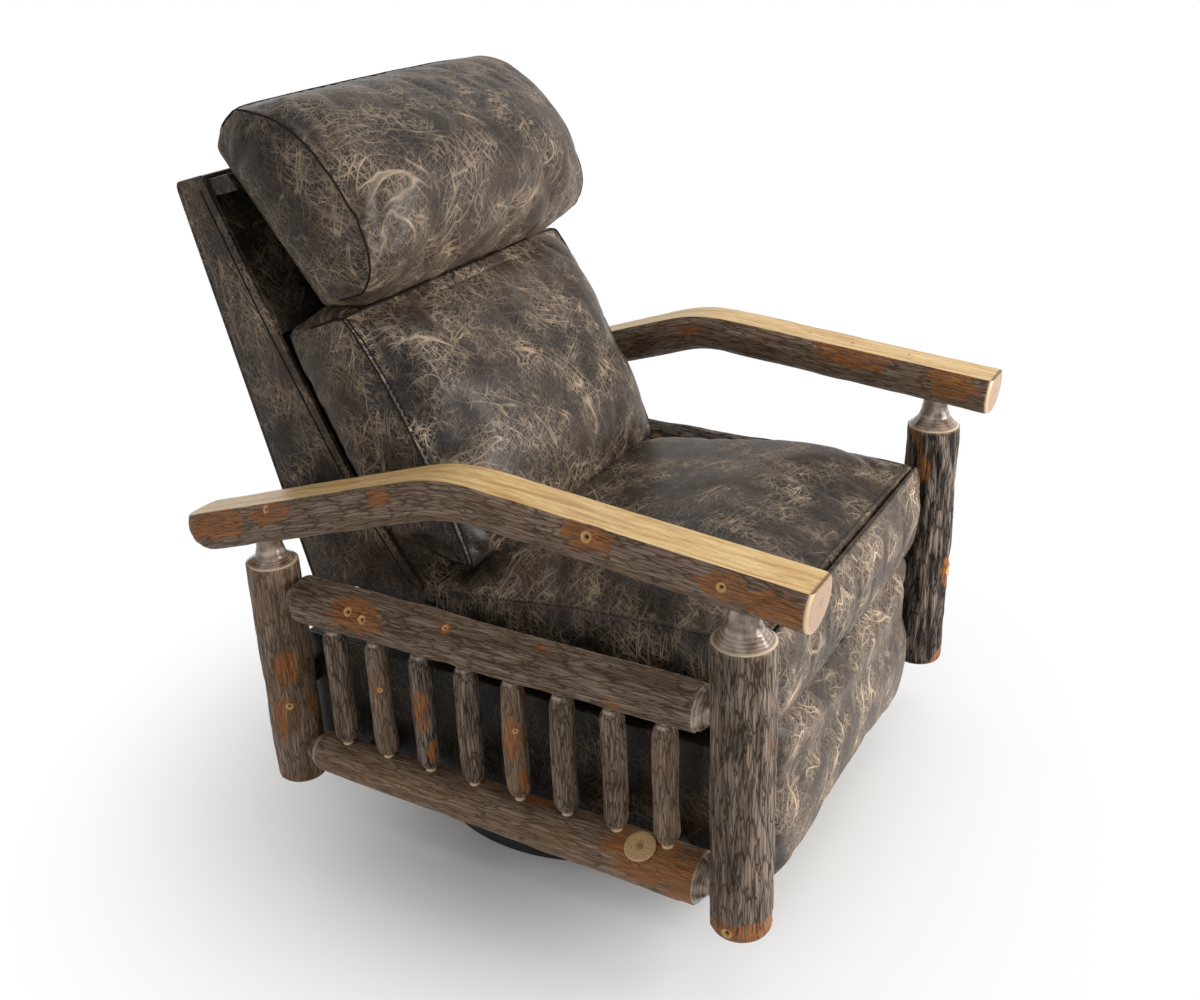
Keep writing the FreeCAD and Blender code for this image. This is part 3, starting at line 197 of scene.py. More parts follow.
def drifted(tree, place, size, reach):
    """Coordinates pushed about by noise of that size, up to about half the reach, both in millimetres."""
    cloud = add_node(tree, "ShaderNodeTexNoise", [("Vector", place), ("Scale", 1 / size), ("Detail", 1.0)])
    centred = add_node(tree, "ShaderNodeVectorMath", [(0, cloud.outputs["Color"]), (1, (0.5, 0.5, 0.5))],
                       operation="SUBTRACT")
    pulled = add_node(tree, "ShaderNodeVectorMath", [
        (0, centred.outputs[0]), ("Scale", reach)], operation="SCALE")
    return add_node(tree, "ShaderNodeVectorMath", [
        (0, place), (1, pulled.outputs[0])], operation="ADD").outputs[0]


# Hair cracks of the leather: turn of each layer, spacing and length in mm, line width and how pale it is
HAIRS = (
    ((0.0, 0.35, 0.5), 4.0, 30.0, 0.036, 0.5), ((0.0, -0.6, -0.6), 5.2, 44.0, 0.034, 0.7),
    ((0.0, 1.1, 0.9), 4.6, 36.0, 0.034, 0.6), ((0.0, 0.1, 1.2), 9.0, 95.0, 0.024, 1.0))
# Webs of cracks: turn, cell and its length in mm, line width as a share of a cell and how pale it is
WEBS = (
    ((0.0, -0.9, 0.2), 5.5, 22.0, 0.036, 0.5), ((0.0, 0.5, -1.0), 12.0, 52.0, 0.026, 0.9))


def distressed_leather(looks, name="distressed_leather", lift=0.0):
    # Pull-up cowhide, waxed and crumpled: near-black hide, tan hair cracks, rubbed patches, soft waxy sheen
    material, shader = new_material(name)
    tree = material.node_tree
    place = millimetres(tree)
    bent = drifted(tree, drifted(tree, place, 170.0, 44.0), 26.0, 3.0)
    cracks = None
    for number, (turned, across, length, width, pale) in enumerate(HAIRS + WEBS):
        lay = add_node(tree, "ShaderNodeMapping", [
            ("Vector", bent), ("Rotation", turned), ("Location", (310.0 * number, 70.0, 0.0)),
            ("Scale", (across, length, length))], vector_type="TEXTURE").outputs[0]
        if number < len(HAIRS):
            hair = add_node(tree, "ShaderNodeTexNoise", [
                ("Vector", lay), ("Scale", 1.0), ("Detail", 0.4), ("Roughness", 0.5)]).outputs["Fac"]
            off = add_node(tree, "ShaderNodeMath", [(0, hair), (1, 0.5)], operation="SUBTRACT").outputs[0]
            gap = add_node(tree, "ShaderNodeMath", [(0, off)], operation="ABSOLUTE").outputs[0]
        else:
            gap = add_node(tree, "ShaderNodeTexVoronoi", [("Vector", lay), ("Scale", 1.0)],
                           feature="DISTANCE_TO_EDGE").outputs["Distance"]
        line = add_node(tree, "ShaderNodeMapRange", [
            ("Value", gap), ("From Max", width), ("To Min", pale), ("To Max", 0.0)]).outputs[0]
        field = add_node(tree, "ShaderNodeTexNoise", [
            ("Vector", place), ("Scale", 1 / 60), ("Detail", 3.0), ("Roughness", 0.55), ("W", 3.7 * number)],
            noise_dimensions="4D").outputs["Fac"]
        shown = add_node(tree, "ShaderNodeMapRange", [
            ("Value", field), ("From Min", 0.42), ("From Max", 0.7), ("To Min", 0.1)]).outputs[0]
        part = add_node(tree, "ShaderNodeMath", [(0, line), (1, shown)], operation="MULTIPLY").outputs[0]
        cracks = part if cracks is None else add_node(
            tree, "ShaderNodeMath", [(0, cracks), (1, part)], operation="MAXIMUM").outputs[0]

    worn = add_node(tree, "ShaderNodeTexNoise", [
        ("Vector", place), ("Scale", 1 / 170), ("Detail", 3.0), ("Roughness", 0.45)])
    # A mark for each vertex: real wear with a painted highlight on the headrest's lower front, and painted
    # shade where it is below 0 along the seat's sides
    wear_sheen_and_shade = add_node(tree, "ShaderNodeAttribute", attribute_name="wear_sheen_and_shade").outputs["Fac"]
    rubbed = add_node(tree, "ShaderNodeMath", [
        (0, wear_sheen_and_shade), (1, 0.42), (2, worn.outputs["Fac"])], operation="MULTIPLY_ADD").outputs[0]
    # A lift above 0 makes a lighter copy with painted light, and below 0 a darker copy with painted shade:
    # more or less of the rubbed colour shows.
    rub = add_node(tree, "ShaderNodeMapRange", [
        ("Value", rubbed), ("From Min", 0.36 - lift), ("From Max", 0.7 - lift)])
    speck = add_node(tree, "ShaderNodeTexNoise", [("Vector", place), ("Scale", 1 / 2.2), ("Detail", 2.0)])
    hide = add_node(tree, "ShaderNodeMix", [
        (0, rub.outputs[0]), (6, tuple(looks.base)), (7, tuple(looks.rubbed))], data_type="RGBA").outputs[2]
    shade = add_node(tree, "ShaderNodeMapRange", [
        ("Value", speck.outputs["Fac"]), ("From Min", 0.32), ("From Max", 0.68),
        ("To Min", 0.25), ("To Max", 1.8)])
    hide = add_node(tree, "ShaderNodeVectorMath", [
        (0, hide), ("Scale", shade.outputs[0])], operation="SCALE").outputs[0]
    # Cracks are paler on the lit copy and darker on the shaded copy: painted light and painted shade.
    pale_line = tuple(channel * (1 + 3.5 * lift) for channel in looks.crackle[:3]) + (1.0,)
    colour = add_node(tree, "ShaderNodeMix", [
        (0, cracks), (6, hide), (7, pale_line)], data_type="RGBA").outputs[2]
    tree.links.new(colour, shader.inputs["Base Color"])

    rough = add_node(tree, "ShaderNodeMapRange", [("Value", cracks), ("To Min", 0.4), ("To Max", 0.62)])
    tree.links.new(rough.outputs[0], shader.inputs["Roughness"])
    relief = add_node(tree, "ShaderNodeMath", [
        (0, speck.outputs["Fac"]), (1, 0.6), (2, cracks)], operation="MULTIPLY_ADD")
    bump = add_node(tree, "ShaderNodeBump", [
        ("Height", relief.outputs[0]), ("Strength", 0.4), ("Distance", 0.7 * MM)])
    tree.links.new(bump.outputs[0], shader.inputs["Normal"])
    shader.inputs["Specular IOR Level"].default_value = 0.2
    return material


def hickory_bark(looks):
    # Unpeeled hickory under clear finish: dark furrows, partly the bark's own colour and partly painted
    # shade, grey-brown ridges, orange inner bark and pale knots
    material, shader = new_material("unpeeled_hickory")
    tree = material.node_tree
    grain = add_node(tree, "ShaderNodeAttribute", attribute_name="grain").outputs["Vector"]
    ridge, patch, knot, tone = [
        add_node(tree, "ShaderNodeAttribute", attribute_name=name).outputs["Fac"]
        for name in ("ridge", "patch", "knot", "tone")]
    lay = add_node(tree, "ShaderNodeMapping", [
        ("Vector", drifted(tree, grain, 24.0, 5.0)), ("Scale", (1 / 1.5, 1 / 1.5, 1 / 42))]).outputs[0]
    streak = add_node(tree, "ShaderNodeTexNoise", [
        ("Vector", lay), ("Scale", 1.0), ("Detail", 3.0), ("Roughness", 0.6)]).outputs["Fac"]
    cloud = add_node(tree, "ShaderNodeTexNoise", [
        ("Vector", grain), ("Scale", 1 / 45), ("Detail", 3.0)]).outputs["Fac"]
    lines = add_node(tree, "ShaderNodeMapRange", [
        ("Value", streak), ("From Min", 0.3), ("From Max", 0.7),
        ("To Min", -0.13), ("To Max", 0.1)]).outputs[0]
    cell_lay = add_node(tree, "ShaderNodeMapping", [
        ("Vector", drifted(tree, grain, 16.0, 4.0)), ("Scale", (1 / 4.4, 1 / 4.4, 1 / 52))]).outputs[0]
    cell = add_node(tree, "ShaderNodeTexVoronoi", [("Vector", cell_lay), ("Scale", 1.0)],
                    feature="DISTANCE_TO_EDGE").outputs["Distance"]
    crack = add_node(tree, "ShaderNodeMapRange", [
        ("Value", cell), ("From Max", 0.12), ("To Min", -0.6), ("To Max", 0.03)]).outputs[0]
    cracked = add_node(tree, "ShaderNodeMath", [(0, lines), (1, crack)], operation="ADD").outputs[0]
    level = add_node(tree, "ShaderNodeMath", [
        (0, ridge), (1, cracked)], operation="ADD", use_clamp=True).outputs[0]
    # Darker down the furrows and cracks: partly the bark's own colour, partly painted shade in the recesses
    bark = colour_stops(add_node(tree, "ShaderNodeValToRGB", [("Fac", level)]), (
        (0.0, tuple(looks.furrow)), (0.3, "342b25"), (0.66, "62564c"), (1.0, tuple(looks.ridge)))).outputs[0]
    warm = add_node(tree, "ShaderNodeMath", [(0, cloud), (1, tone)], operation="MULTIPLY").outputs[0]
    toned = add_node(tree, "ShaderNodeMix", [
        (0, warm), (6, bark), (7, linear("a5805a"))], data_type="RGBA").outputs[2]
    inner = colour_stops(add_node(tree, "ShaderNodeValToRGB", [("Fac", streak)]), (
        (0.3, "4d2c16"), (0.5, "8a5328"), (0.7, tuple(looks.inner_bark)))).outputs[0]
    flaked = add_node(tree, "ShaderNodeMapRange", [
        ("Value", streak), ("From Min", 0.36), ("From Max", 0.56),
        ("To Min", 0.05), ("To Max", 1.0)]).outputs[0]
    bare = add_node(tree, "ShaderNodeMath", [(0, patch), (1, flaked)], operation="MULTIPLY").outputs[0]
    peeled = add_node(tree, "ShaderNodeMix", [
        (0, bare), (6, toned), (7, inner)], data_type="RGBA").outputs[2]
    knot_colour = colour_stops(add_node(tree, "ShaderNodeValToRGB", [("Fac", knot)]), (
        (0.0, "2a160c"), (0.14, "4a2a16"), (0.24, "c79a62"), (0.4, "d8b27c"), (0.5, "9a5a2a"))).outputs[0]
    in_knot = add_node(tree, "ShaderNodeMapRange", [
        ("Value", knot), ("From Min", 0.5), ("From Max", 0.58), ("To Min", 1.0), ("To Max", 0.0)]).outputs[0]
    colour = add_node(tree, "ShaderNodeMix", [
        (0, in_knot), (6, peeled), (7, knot_colour)], data_type="RGBA").outputs[2]
    tree.links.new(colour, shader.inputs["Base Color"])
    rough = add_node(tree, "ShaderNodeMapRange", [
        ("Value", level), ("To Min", 0.75), ("To Max", 0.45)]).outputs[0]
    tree.links.new(rough, shader.inputs["Roughness"])
    bump = add_node(tree, "ShaderNodeBump", [("Height", cracked), ("Strength", 0.75), ("Distance", 1.8 * MM)])
    tree.links.new(bump.outputs[0], shader.inputs["Normal"])
    shader.inputs["Specular IOR Level"].default_value = 0.22
    return material


def planed_hickory(looks):
    # Planed and varnished hickory: straw and honey bands with fine dark pores along the grain
    material, shader = new_material("varnished_hickory")
    tree = material.node_tree
    grain = add_node(tree, "ShaderNodeAttribute", attribute_name="grain").outputs["Vector"]
    along = add_node(tree, "ShaderNodeMapping", [
        ("Vector", drifted(tree, grain, 90.0, 16.0)), ("Scale", (1 / 7, 1 / 7, 1 / 170))]).outputs[0]
    bands = add_node(tree, "ShaderNodeTexNoise", [
        ("Vector", along), ("Scale", 1.0), ("Detail", 4.0), ("Roughness", 0.62)]).outputs["Fac"]
    wood = colour_stops(add_node(tree, "ShaderNodeValToRGB", [("Fac", bands)]), (
        (0.34, "b98d55"), (0.5, tuple(looks.planed)), (0.66, "e9cb95"))).outputs[0]
    pore_lay = add_node(tree, "ShaderNodeMapping", [
        ("Vector", grain), ("Scale", (1 / 1.1, 1 / 1.1, 1 / 16))]).outputs[0]
    pores = add_node(tree, "ShaderNodeTexNoise", [
        ("Vector", pore_lay), ("Scale", 1.0), ("Detail", 1.0)]).outputs["Fac"]
    pore = add_node(tree, "ShaderNodeMapRange", [
        ("Value", pores), ("From Min", 0.58), ("From Max", 0.72), ("To Max", 0.6)]).outputs[0]
    pored = add_node(tree, "ShaderNodeMix", [
        (0, pore), (6, wood), (7, linear("8a6232"))], data_type="RGBA").outputs[2]
    knot = add_node(tree, "ShaderNodeAttribute", attribute_name="knot").outputs["Fac"]
    knot_colour = colour_stops(add_node(tree, "ShaderNodeValToRGB", [("Fac", knot)]), (
        (0.0, "1d0f08"), (0.2, "3b2212"), (0.36, "8a5a30"))).outputs[0]
    in_knot = add_node(tree, "ShaderNodeMapRange", [
        ("Value", knot), ("From Min", 0.24), ("From Max", 0.5), ("To Min", 1.0), ("To Max", 0.0)]).outputs[0]
    knotted = add_node(tree, "ShaderNodeMix", [
        (0, in_knot), (6, pored), (7, knot_colour)], data_type="RGBA").outputs[2]
    rim = add_node(tree, "ShaderNodeAttribute", attribute_name="rim").outputs["Fac"]
    colour = add_node(tree, "ShaderNodeMix", [
        (0, rim), (6, knotted), (7, linear("5f3a1c"))], data_type="RGBA").outputs[2]
    tree.links.new(colour, shader.inputs["Base Color"])
    shader.inputs["Roughness"].default_value = 0.42
    bump = add_node(tree, "ShaderNodeBump", [("Height", pores), ("Strength", 0.12), ("Distance", 0.5 * MM)])
    tree.links.new(bump.outputs[0], shader.inputs["Normal"])
    return material


def turned_hickory():
    # Lathe-turned and varnished hickory: glossy brown with streaks, and a pale cut edge beside the bark
    material, shader = new_material("turned_hickory")
    tree = material.node_tree
    streaks = add_node(tree, "ShaderNodeTexNoise", [
        ("Vector", millimetres(tree)), ("Scale", 1 / 16), ("Detail", 3.0), ("Roughness", 0.5)]).outputs["Fac"]
    pith = add_node(tree, "ShaderNodeAttribute", attribute_name="pith").outputs["Fac"]
    tool = add_node(tree, "ShaderNodeMath", [(0, pith), (1, 1.9 / MM)], operation="MULTIPLY").outputs[0]
    ring = add_node(tree, "ShaderNodeMath", [(0, tool)], operation="SINE").outputs[0]
    level = add_node(tree, "ShaderNodeMath", [
        (0, ring), (1, 0.07), (2, streaks)], operation="MULTIPLY_ADD").outputs[0]
    wood = colour_stops(add_node(tree, "ShaderNodeValToRGB", [("Fac", level)]), (
        (0.32, "5a4638"), (0.5, "8d7766"), (0.68, "b5a18e"))).outputs[0]
    rim = add_node(tree, "ShaderNodeAttribute", attribute_name="rim").outputs["Fac"]
    colour = add_node(tree, "ShaderNodeMix", [
        (0, rim), (6, wood), (7, linear("d9c3a2"))], data_type="RGBA").outputs[2]
    tree.links.new(colour, shader.inputs["Base Color"])
    shader.inputs["Roughness"].default_value = 0.24
    shader.inputs["Coat Weight"].default_value = 0.35
    shader.inputs["Coat Roughness"].default_value = 0.15
    bump = add_node(tree, "ShaderNodeBump", [("Height", ring), ("Strength", 0.2), ("Distance", 0.3 * MM)])
    tree.links.new(bump.outputs[0], shader.inputs["Normal"])
    return material


def hickory_end_grain(name, dark, middle, light):
    # Sanded end grain under varnish: pinkish tan or cream with faint growth rings about the pith
    material, shader = new_material(name)
    tree = material.node_tree
    place = millimetres(tree)
    pith = add_node(tree, "ShaderNodeAttribute", attribute_name="pith").outputs["Fac"]
    sway = add_node(tree, "ShaderNodeTexNoise", [
        ("Vector", place), ("Scale", 1 / 22), ("Detail", 2.0)]).outputs["Fac"]
    turns = add_node(tree, "ShaderNodeMath", [(0, pith), (1, 1.6 / MM)], operation="MULTIPLY").outputs[0]
    swayed = add_node(tree, "ShaderNodeMath", [
        (0, sway), (1, 9.0), (2, turns)], operation="MULTIPLY_ADD").outputs[0]
    ring = add_node(tree, "ShaderNodeMath", [(0, swayed)], operation="SINE").outputs[0]
    speck = add_node(tree, "ShaderNodeTexNoise", [
        ("Vector", place), ("Scale", 1 / 1.8), ("Detail", 2.0)]).outputs["Fac"]
    level = add_node(tree, "ShaderNodeMath", [
        (0, ring), (1, 0.11), (2, speck)], operation="MULTIPLY_ADD").outputs[0]
    wood = colour_stops(add_node(tree, "ShaderNodeValToRGB", [("Fac", level)]), (
        (0.25, dark), (0.5, middle), (0.75, light))).outputs[0]
    heart = add_node(tree, "ShaderNodeMapRange", [
        ("Value", pith), ("From Min", 2 * MM), ("From Max", 8 * MM),
        ("To Min", 0.75), ("To Max", 0.0)]).outputs[0]
    wood = add_node(tree, "ShaderNodeMix", [
        (0, heart), (6, wood), (7, linear("5c3a20"))], data_type="RGBA").outputs[2]
    rim = add_node(tree, "ShaderNodeAttribute", attribute_name="rim").outputs["Fac"]
    colour = add_node(tree, "ShaderNodeMix", [
        (0, rim), (6, wood), (7, linear("e2c6a0"))], data_type="RGBA").outputs[2]
    tree.links.new(colour, shader.inputs["Base Color"])
    shader.inputs["Roughness"].default_value = 0.36
    return material


def plain_finish(name, light, dark, grain, roughness, metallic=0.0, bump_depth=0.15, shine=0.5):
    """A finish with one mottled pattern: two hex colours, the pattern's size along x, y, z in millimetres."""
    material, shader = new_material(name)
    tree = material.node_tree
    lay = add_node(tree, "ShaderNodeMapping", [
        ("Vector", millimetres(tree)), ("Scale", tuple(1 / size for size in grain))]).outputs[0]
    spread = add_node(tree, "ShaderNodeTexNoise", [
        ("Vector", lay), ("Scale", 1.0), ("Detail", 4.0), ("Roughness", 0.6)]).outputs["Fac"]
    ramp = colour_stops(add_node(tree, "ShaderNodeValToRGB", [("Fac", spread)]), (
        (0.32, dark), (0.68, light)))
    tree.links.new(ramp.outputs[0], shader.inputs["Base Color"])
    rough = add_node(tree, "ShaderNodeMapRange", [
        ("Value", spread), ("To Min", roughness - 0.08), ("To Max", roughness + 0.08)]).outputs[0]
    tree.links.new(rough, shader.inputs["Roughness"])
    shader.inputs["Metallic"].default_value = metallic
    shader.inputs["Specular IOR Level"].default_value = shine
    bump = add_node(tree, "ShaderNodeBump", [
        ("Height", spread), ("Strength", 0.25), ("Distance", bump_depth * MM)])
    tree.links.new(bump.outputs[0], shader.inputs["Normal"])
    return material


# Modelling helpers


def begin():
    """Object mode with nothing selected."""
    if bpy.context.object and bpy.context.object.mode != "OBJECT":
        bpy.ops.object.mode_set(mode="OBJECT")
    bpy.ops.object.select_all(action="DESELECT")


def take(obj):
    """Selects one object alone and makes it active."""
    begin()
    obj.select_set(True)
    bpy.context.view_layer.objects.active = obj
    return obj


def apply_modifier(obj, name, kind, **settings):
    """Adds a modifier with its settings and applies it."""
    take(obj)
    modifier = obj.modifiers.new(name, kind)
    for key, value in settings.items():
        setattr(modifier, key, value)
    bpy.ops.object.modifier_apply(modifier=modifier.name)
    return obj


def new_object(name, data):
    """A new object in the scene."""
    obj = bpy.data.objects.new(name, data)
    bpy.context.scene.collection.objects.link(obj)
    return obj


def edit_all(obj, *jobs):
    """Does jobs in edit mode, one after the other, with all of the mesh selected."""
    take(obj)
    bpy.ops.object.mode_set(mode="EDIT")
    bpy.ops.mesh.select_all(action="SELECT")
    for job in jobs:
        job()
    bpy.ops.object.mode_set(mode="OBJECT")
    return obj


def face_outward():
    bpy.ops.mesh.normals_make_consistent(inside=False)


def points_of(obj):
    """The mesh's vertices as an array."""
    found = np.empty(len(obj.data.vertices) * 3)
    obj.data.vertices.foreach_get("co", found)
    return found.reshape(-1, 3)


def move_points(obj, points):
    obj.data.vertices.foreach_set("co", np.asarray(points, float).ravel())
    obj.data.update()


def normals_of(obj):
    """The mesh's vertex normals as an array."""
    found = np.empty(len(obj.data.vertices) * 3)
    obj.data.vertices.foreach_get("normal", found)
    return found.reshape(-1, 3)


def mark(obj, name, values):
    """Writes one number for each vertex, for a material to read."""
    layer = obj.data.attributes.get(name) or obj.data.attributes.new(name, "FLOAT", "POINT")
    layer.data.foreach_set("value", np.asarray(values, np.float32))


def mark_grain(obj, points):
    """Writes each vertex's place in its own log, in millimetres, for the streaks along the wood."""
    layer = obj.data.attributes.get("grain") or obj.data.attributes.new("grain", "FLOAT_VECTOR", "POINT")
    layer.data.foreach_set("vector", np.asarray(points, np.float32).ravel())


def dress(obj, body, slot, materials, *nodes):
    """Gives a finished piece its materials and body, and hides the nodes that it stands for; the record slot
    is not used.
    """
    if len(obj.data.materials) == 0:
        for material in materials:
            obj.data.materials.append(material)
    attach(obj, body)
    if nodes:
        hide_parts(*nodes)
    return obj


def turn(name, profile, steps):
    """Spins a profile of (height, radius) points about Z, in metres."""
    begin()
    bpy.ops.mesh.primitive_plane_add(size=1.0)
    obj = bpy.context.object
    obj.name = name
    bpy.ops.object.mode_set(mode="EDIT")
    bpy.ops.mesh.select_mode(type="VERT")
    bpy.ops.mesh.select_all(action="SELECT")
    bpy.ops.mesh.merge(type="CENTER")
    line = [Vector((radius, 0, height)) for height, radius in profile]
    bpy.ops.transform.translate(value=line[0])
    for here, there in zip(line, line[1:]):
        bpy.ops.mesh.extrude_region_move(TRANSFORM_OT_translate={"value": there - here})
    bpy.ops.mesh.select_all(action="SELECT")
    bpy.ops.mesh.spin(steps=steps, angle=2 * math.pi, center=(0, 0, 0), axis=(0, 0, 1))
    bpy.ops.mesh.select_all(action="SELECT")
    bpy.ops.mesh.remove_doubles(threshold=0.00002)
    bpy.ops.mesh.normals_make_consistent(inside=False)
    bpy.ops.object.mode_set(mode="OBJECT")
    return obj


def fill_profile(corners, pitch):
    """Points along a profile's corners in metres, no further apart than the pitch; both are given in mm."""
    corners = [(height * MM, radius * MM) for height, radius in corners]
    pitch = pitch * MM
    filled = [corners[0]]
    for here, there in zip(corners, corners[1:]):
        count = max(1, math.ceil(math.dist(here, there) / pitch))
        for step in range(1, count + 1):
            share = step / count
            filled.append(tuple(a + (b - a) * share for a, b in zip(here, there)))
    return filled


def grow_bark(obj, bark, seed, knots=(), patches=(), tone=0.0, depth=1.0, bow=0.0, lumps=1.6):
    """Furrows, knots and rubbed patches on a log that stands on Z, placed by mm along and degrees round."""
    looks = bpy.context.scene.recliner_logs
    spacing = looks.ridge_spacing / MM
    run = looks.ridge_run / MM
    furrow = looks.bark_depth / MM * depth
    points = points_of(obj) / MM
    start, end = bark
    shift = Vector((17.3 * seed, 5.1 * seed, 9.7 * seed))
    lean = noise.noise(shift) * math.pi
    ridges = np.ones(len(points))
    rubbed = np.zeros(len(points))
    knotted = np.ones(len(points))
    for index, (x, y, s) in enumerate(points):
        radius = math.hypot(x, y)
        if radius < 1.0:
            continue
        held = smooth_step(start, start + 5, s) * smooth_step(end, end - 5, s) if start < s < end else 0.0
        inside = smooth_step(start - 1, start + 30, s) * smooth_step(end + 1, end - 30, s)
        place = Vector((x, y, s))
        angle = math.atan2(y, x)
        wander = 0.8 * noise.noise(Vector((x / 34, y / 34, s / 60)) + shift)
        broad = noise.noise(Vector((x / spacing + wander, y / spacing - wander, s / run * 0.7)) + shift)
        fine = noise.noise(Vector((x / spacing * 1.9, y / spacing * 1.9, s / run * 1.3)) - shift)
        ridge = 0.5 * smooth_step(-0.4, 0.3, broad) + 0.5 * smooth_step(-0.35, 0.35, fine)
        rough = noise.noise(place / 13 + shift)
        bare = smooth_step(0.5, 0.62, noise.noise(Vector((x / 42, y / 42, s / 75)) - shift * 1.7))
        for at, degrees, length, width in patches:
            turned = (angle - math.radians(degrees) + math.pi) % (2 * math.pi) - math.pi
            gap = math.hypot((s - at) / length, turned * radius / width) + 0.4 * rough
            bare = max(bare, smooth_step(1.08, 0.86, gap))
        lift = 0.0
        nearest = 2.0
        for at, degrees, size in knots:
            turned = (angle - math.radians(degrees) + math.pi) % (2 * math.pi) - math.pi
            gap = math.hypot(s - at, turned * radius) / size
            nearest = min(nearest, gap * (1 + 0.12 * rough))
            collar = math.exp(-(((gap - 0.9) / 0.4) ** 2))
            heart = math.exp(-((gap / 0.42) ** 2))
            lift += 0.3 * size * collar - 0.3 * size * heart
            bare = max(bare, smooth_step(2.3, 1.5, gap + 0.5 * rough))
        swell = lumps * noise.noise(Vector((x / 60, y / 60, s / 85)) + shift * 0.6)
        cut = furrow * (ridge - 0.62) * (1 - 0.72 * bare) - 0.7 * bare
        grown = radius + held * (cut + lift) + inside * swell
        sway = bow * inside * math.sin(math.pi * (s - start) / (end - start))
        points[index, 0] = x / radius * grown + sway * math.cos(lean)
        points[index, 1] = y / radius * grown + sway * math.sin(lean)
        # The colour darkens further into the furrows on deeper logs: partly bark colour, partly painted shade
        ridges[index] = 0.92 + held * min(0.2 + 0.42 * depth, 0.9) * (ridge - 1)
        rubbed[index] = bare
        knotted[index] = min(nearest / 2, 1.0)
    mark_grain(obj, points + np.array(shift) * 40)
    move_points(obj, points * MM)
    mark(obj, "ridge", ridges)
    mark(obj, "patch", rubbed)
    mark(obj, "knot", knotted)
    mark(obj, "tone", np.full(len(points), tone))
    return obj


LOG_FINISHES = ("unpeeled_hickory", "turned_hickory")


def finish_log(obj, bark, finishes, rims=()):
    """Bark between two heights and bare wood beyond them, with pale rims at given heights (mm)."""
    points = points_of(obj) / MM
    mark(obj, "pith", np.hypot(points[:, 0], points[:, 1]) * MM)
    rim = np.zeros(len(points))
    for at, reach in rims:
        rim = np.maximum(rim, np.clip(1.3 - np.abs(points[:, 2] - at) / reach, 0, 1))
    mark(obj, "rim", rim)
    for finish in finishes:
        obj.data.materials.append(made(finish))
    for face in obj.data.polygons:
        face.material_index = 0 if bark[0] < face.center.z / MM < bark[1] else 1
        face.use_smooth = True


def place_log(obj, foot, along, outward):
    """Stands a log made on Z at its foot, along its axis, with its own X pointing outward."""
    third = Vector(along).cross(Vector(outward))
    sideways = third if third.z - third.y > 0 else -third
    turned = Matrix((outward, sideways, along)).transposed().to_4x4()
    obj.data.transform(Matrix.Translation(Vector(foot) * MM) @ turned)
    return edit_all(obj, face_outward)


def made(name):
    return bpy.data.materials[name]


class RECLINER_OT_materials(Operator):
    """Makes the finishes that the pieces share"""

    bl_idname = "recliner.materials"
    bl_label = "Finishes"

    def execute(self, context):
        scene = context.scene
        distressed_leather(scene.recliner_leather)
        # Lighter copy of the leather with painted light, for the front-facing seat border and footrest
        distressed_leather(scene.recliner_leather, "painted_light_leather", 0.12)
        # Darker copy of the leather with painted shade, for the side panels under the arms and the upper back
        # pad in the gap
        distressed_leather(scene.recliner_leather, "painted_shade_leather", -0.12)
        hickory_bark(scene.recliner_logs)
        planed_hickory(scene.recliner_logs)
        turned_hickory()
        hickory_end_grain("hickory_end_grain", "64462f", "8b6a50", "a8876a")
        hickory_end_grain("sawn_hickory", "a5774a", "c9a473", "dcbd8c")
        # Pine boards inside: pale, sawn, long soft grain
        plain_finish("sawn_pine", "d8b98c", "b08a5a", (160, 9, 14), 0.6, bump_depth=0.4)
        # Boards that show beside the panels, dark brown as painted shade of the shadowed gaps they show in
        plain_finish("painted_shade_pine", "2f2620", "1d1713", (9, 160, 14), 0.6, bump_depth=0.4, shine=0.2)
        plain_finish("stained_stretchers", "3a2e26", "221a15", (170, 9, 12), 0.6, bump_depth=0.4)
        # Black-passivated zinc plate on pressed steel: dark grey with faint spangle
        plain_finish("plated_steel", "4c4b4a", "302f2e", (12, 12, 12), 0.42, metallic=0.8)
        # Black enamelled steel: satin, near black, with slight orange peel
        plain_finish("black_enamel", "1d1d1f", "101011", (16, 16, 16), 0.34, bump_depth=0.25)
        # Bright rolled steel of the bearing balls
        plain_finish("bearing_steel", "d5d6d8", "b4b6b9", (8, 8, 8), 0.2, metallic=1.0)
        # Open-cell polyurethane foam with fine pores, charcoal as painted shade: it shows only in the
        # shadowed gap at the lumbar cushion's top
        plain_finish("painted_shade_foam", "3b3531", "26211e", (1.6, 1.6, 1.6), 0.9, bump_depth=0.8, shine=0.1)
        # Waxed upholstery thread, sunk in its seam: near black
        plain_finish("waxed_thread", "1c1613", "0d0a08", (2, 2, 2), 0.6, shine=0.1)
        # Woven jute webbing: brown, ribbed across
        plain_finish("jute_webbing", "a98b62", "7c6240", (3, 2, 2), 0.85, bump_depth=0.9)
        return {"FINISHED"}


# Knots are (mm along, degrees round from outward, mm radius) and patches (mm along, degrees, mm, mm)
POST_MARKS = {
    "right_front": dict(seed=3, knots=((16, -2, 8),), patches=((10, 40, 22, 70),), depth=0.75, tone=0.1),
    # The far front post has the deepest furrows, and the darkest in colour: partly rougher bark, partly
    # painted shade of the side light
    "left_front": dict(seed=11, knots=((175, 90, 9),), depth=1.5,
                       patches=((175, 90, 30, 20), (60, 30, 26, 16))),
    "right_rear": dict(seed=5, knots=((142, 35, 6),), depth=0.7, tone=0.45,
                       patches=((209, 38, 28, 20), (120, 10, 34, 12))),
    "left_rear": dict(seed=23, knots=((250, 120, 7),), patches=((130, 60, 36, 18),), depth=0.9, tone=0.3),
}


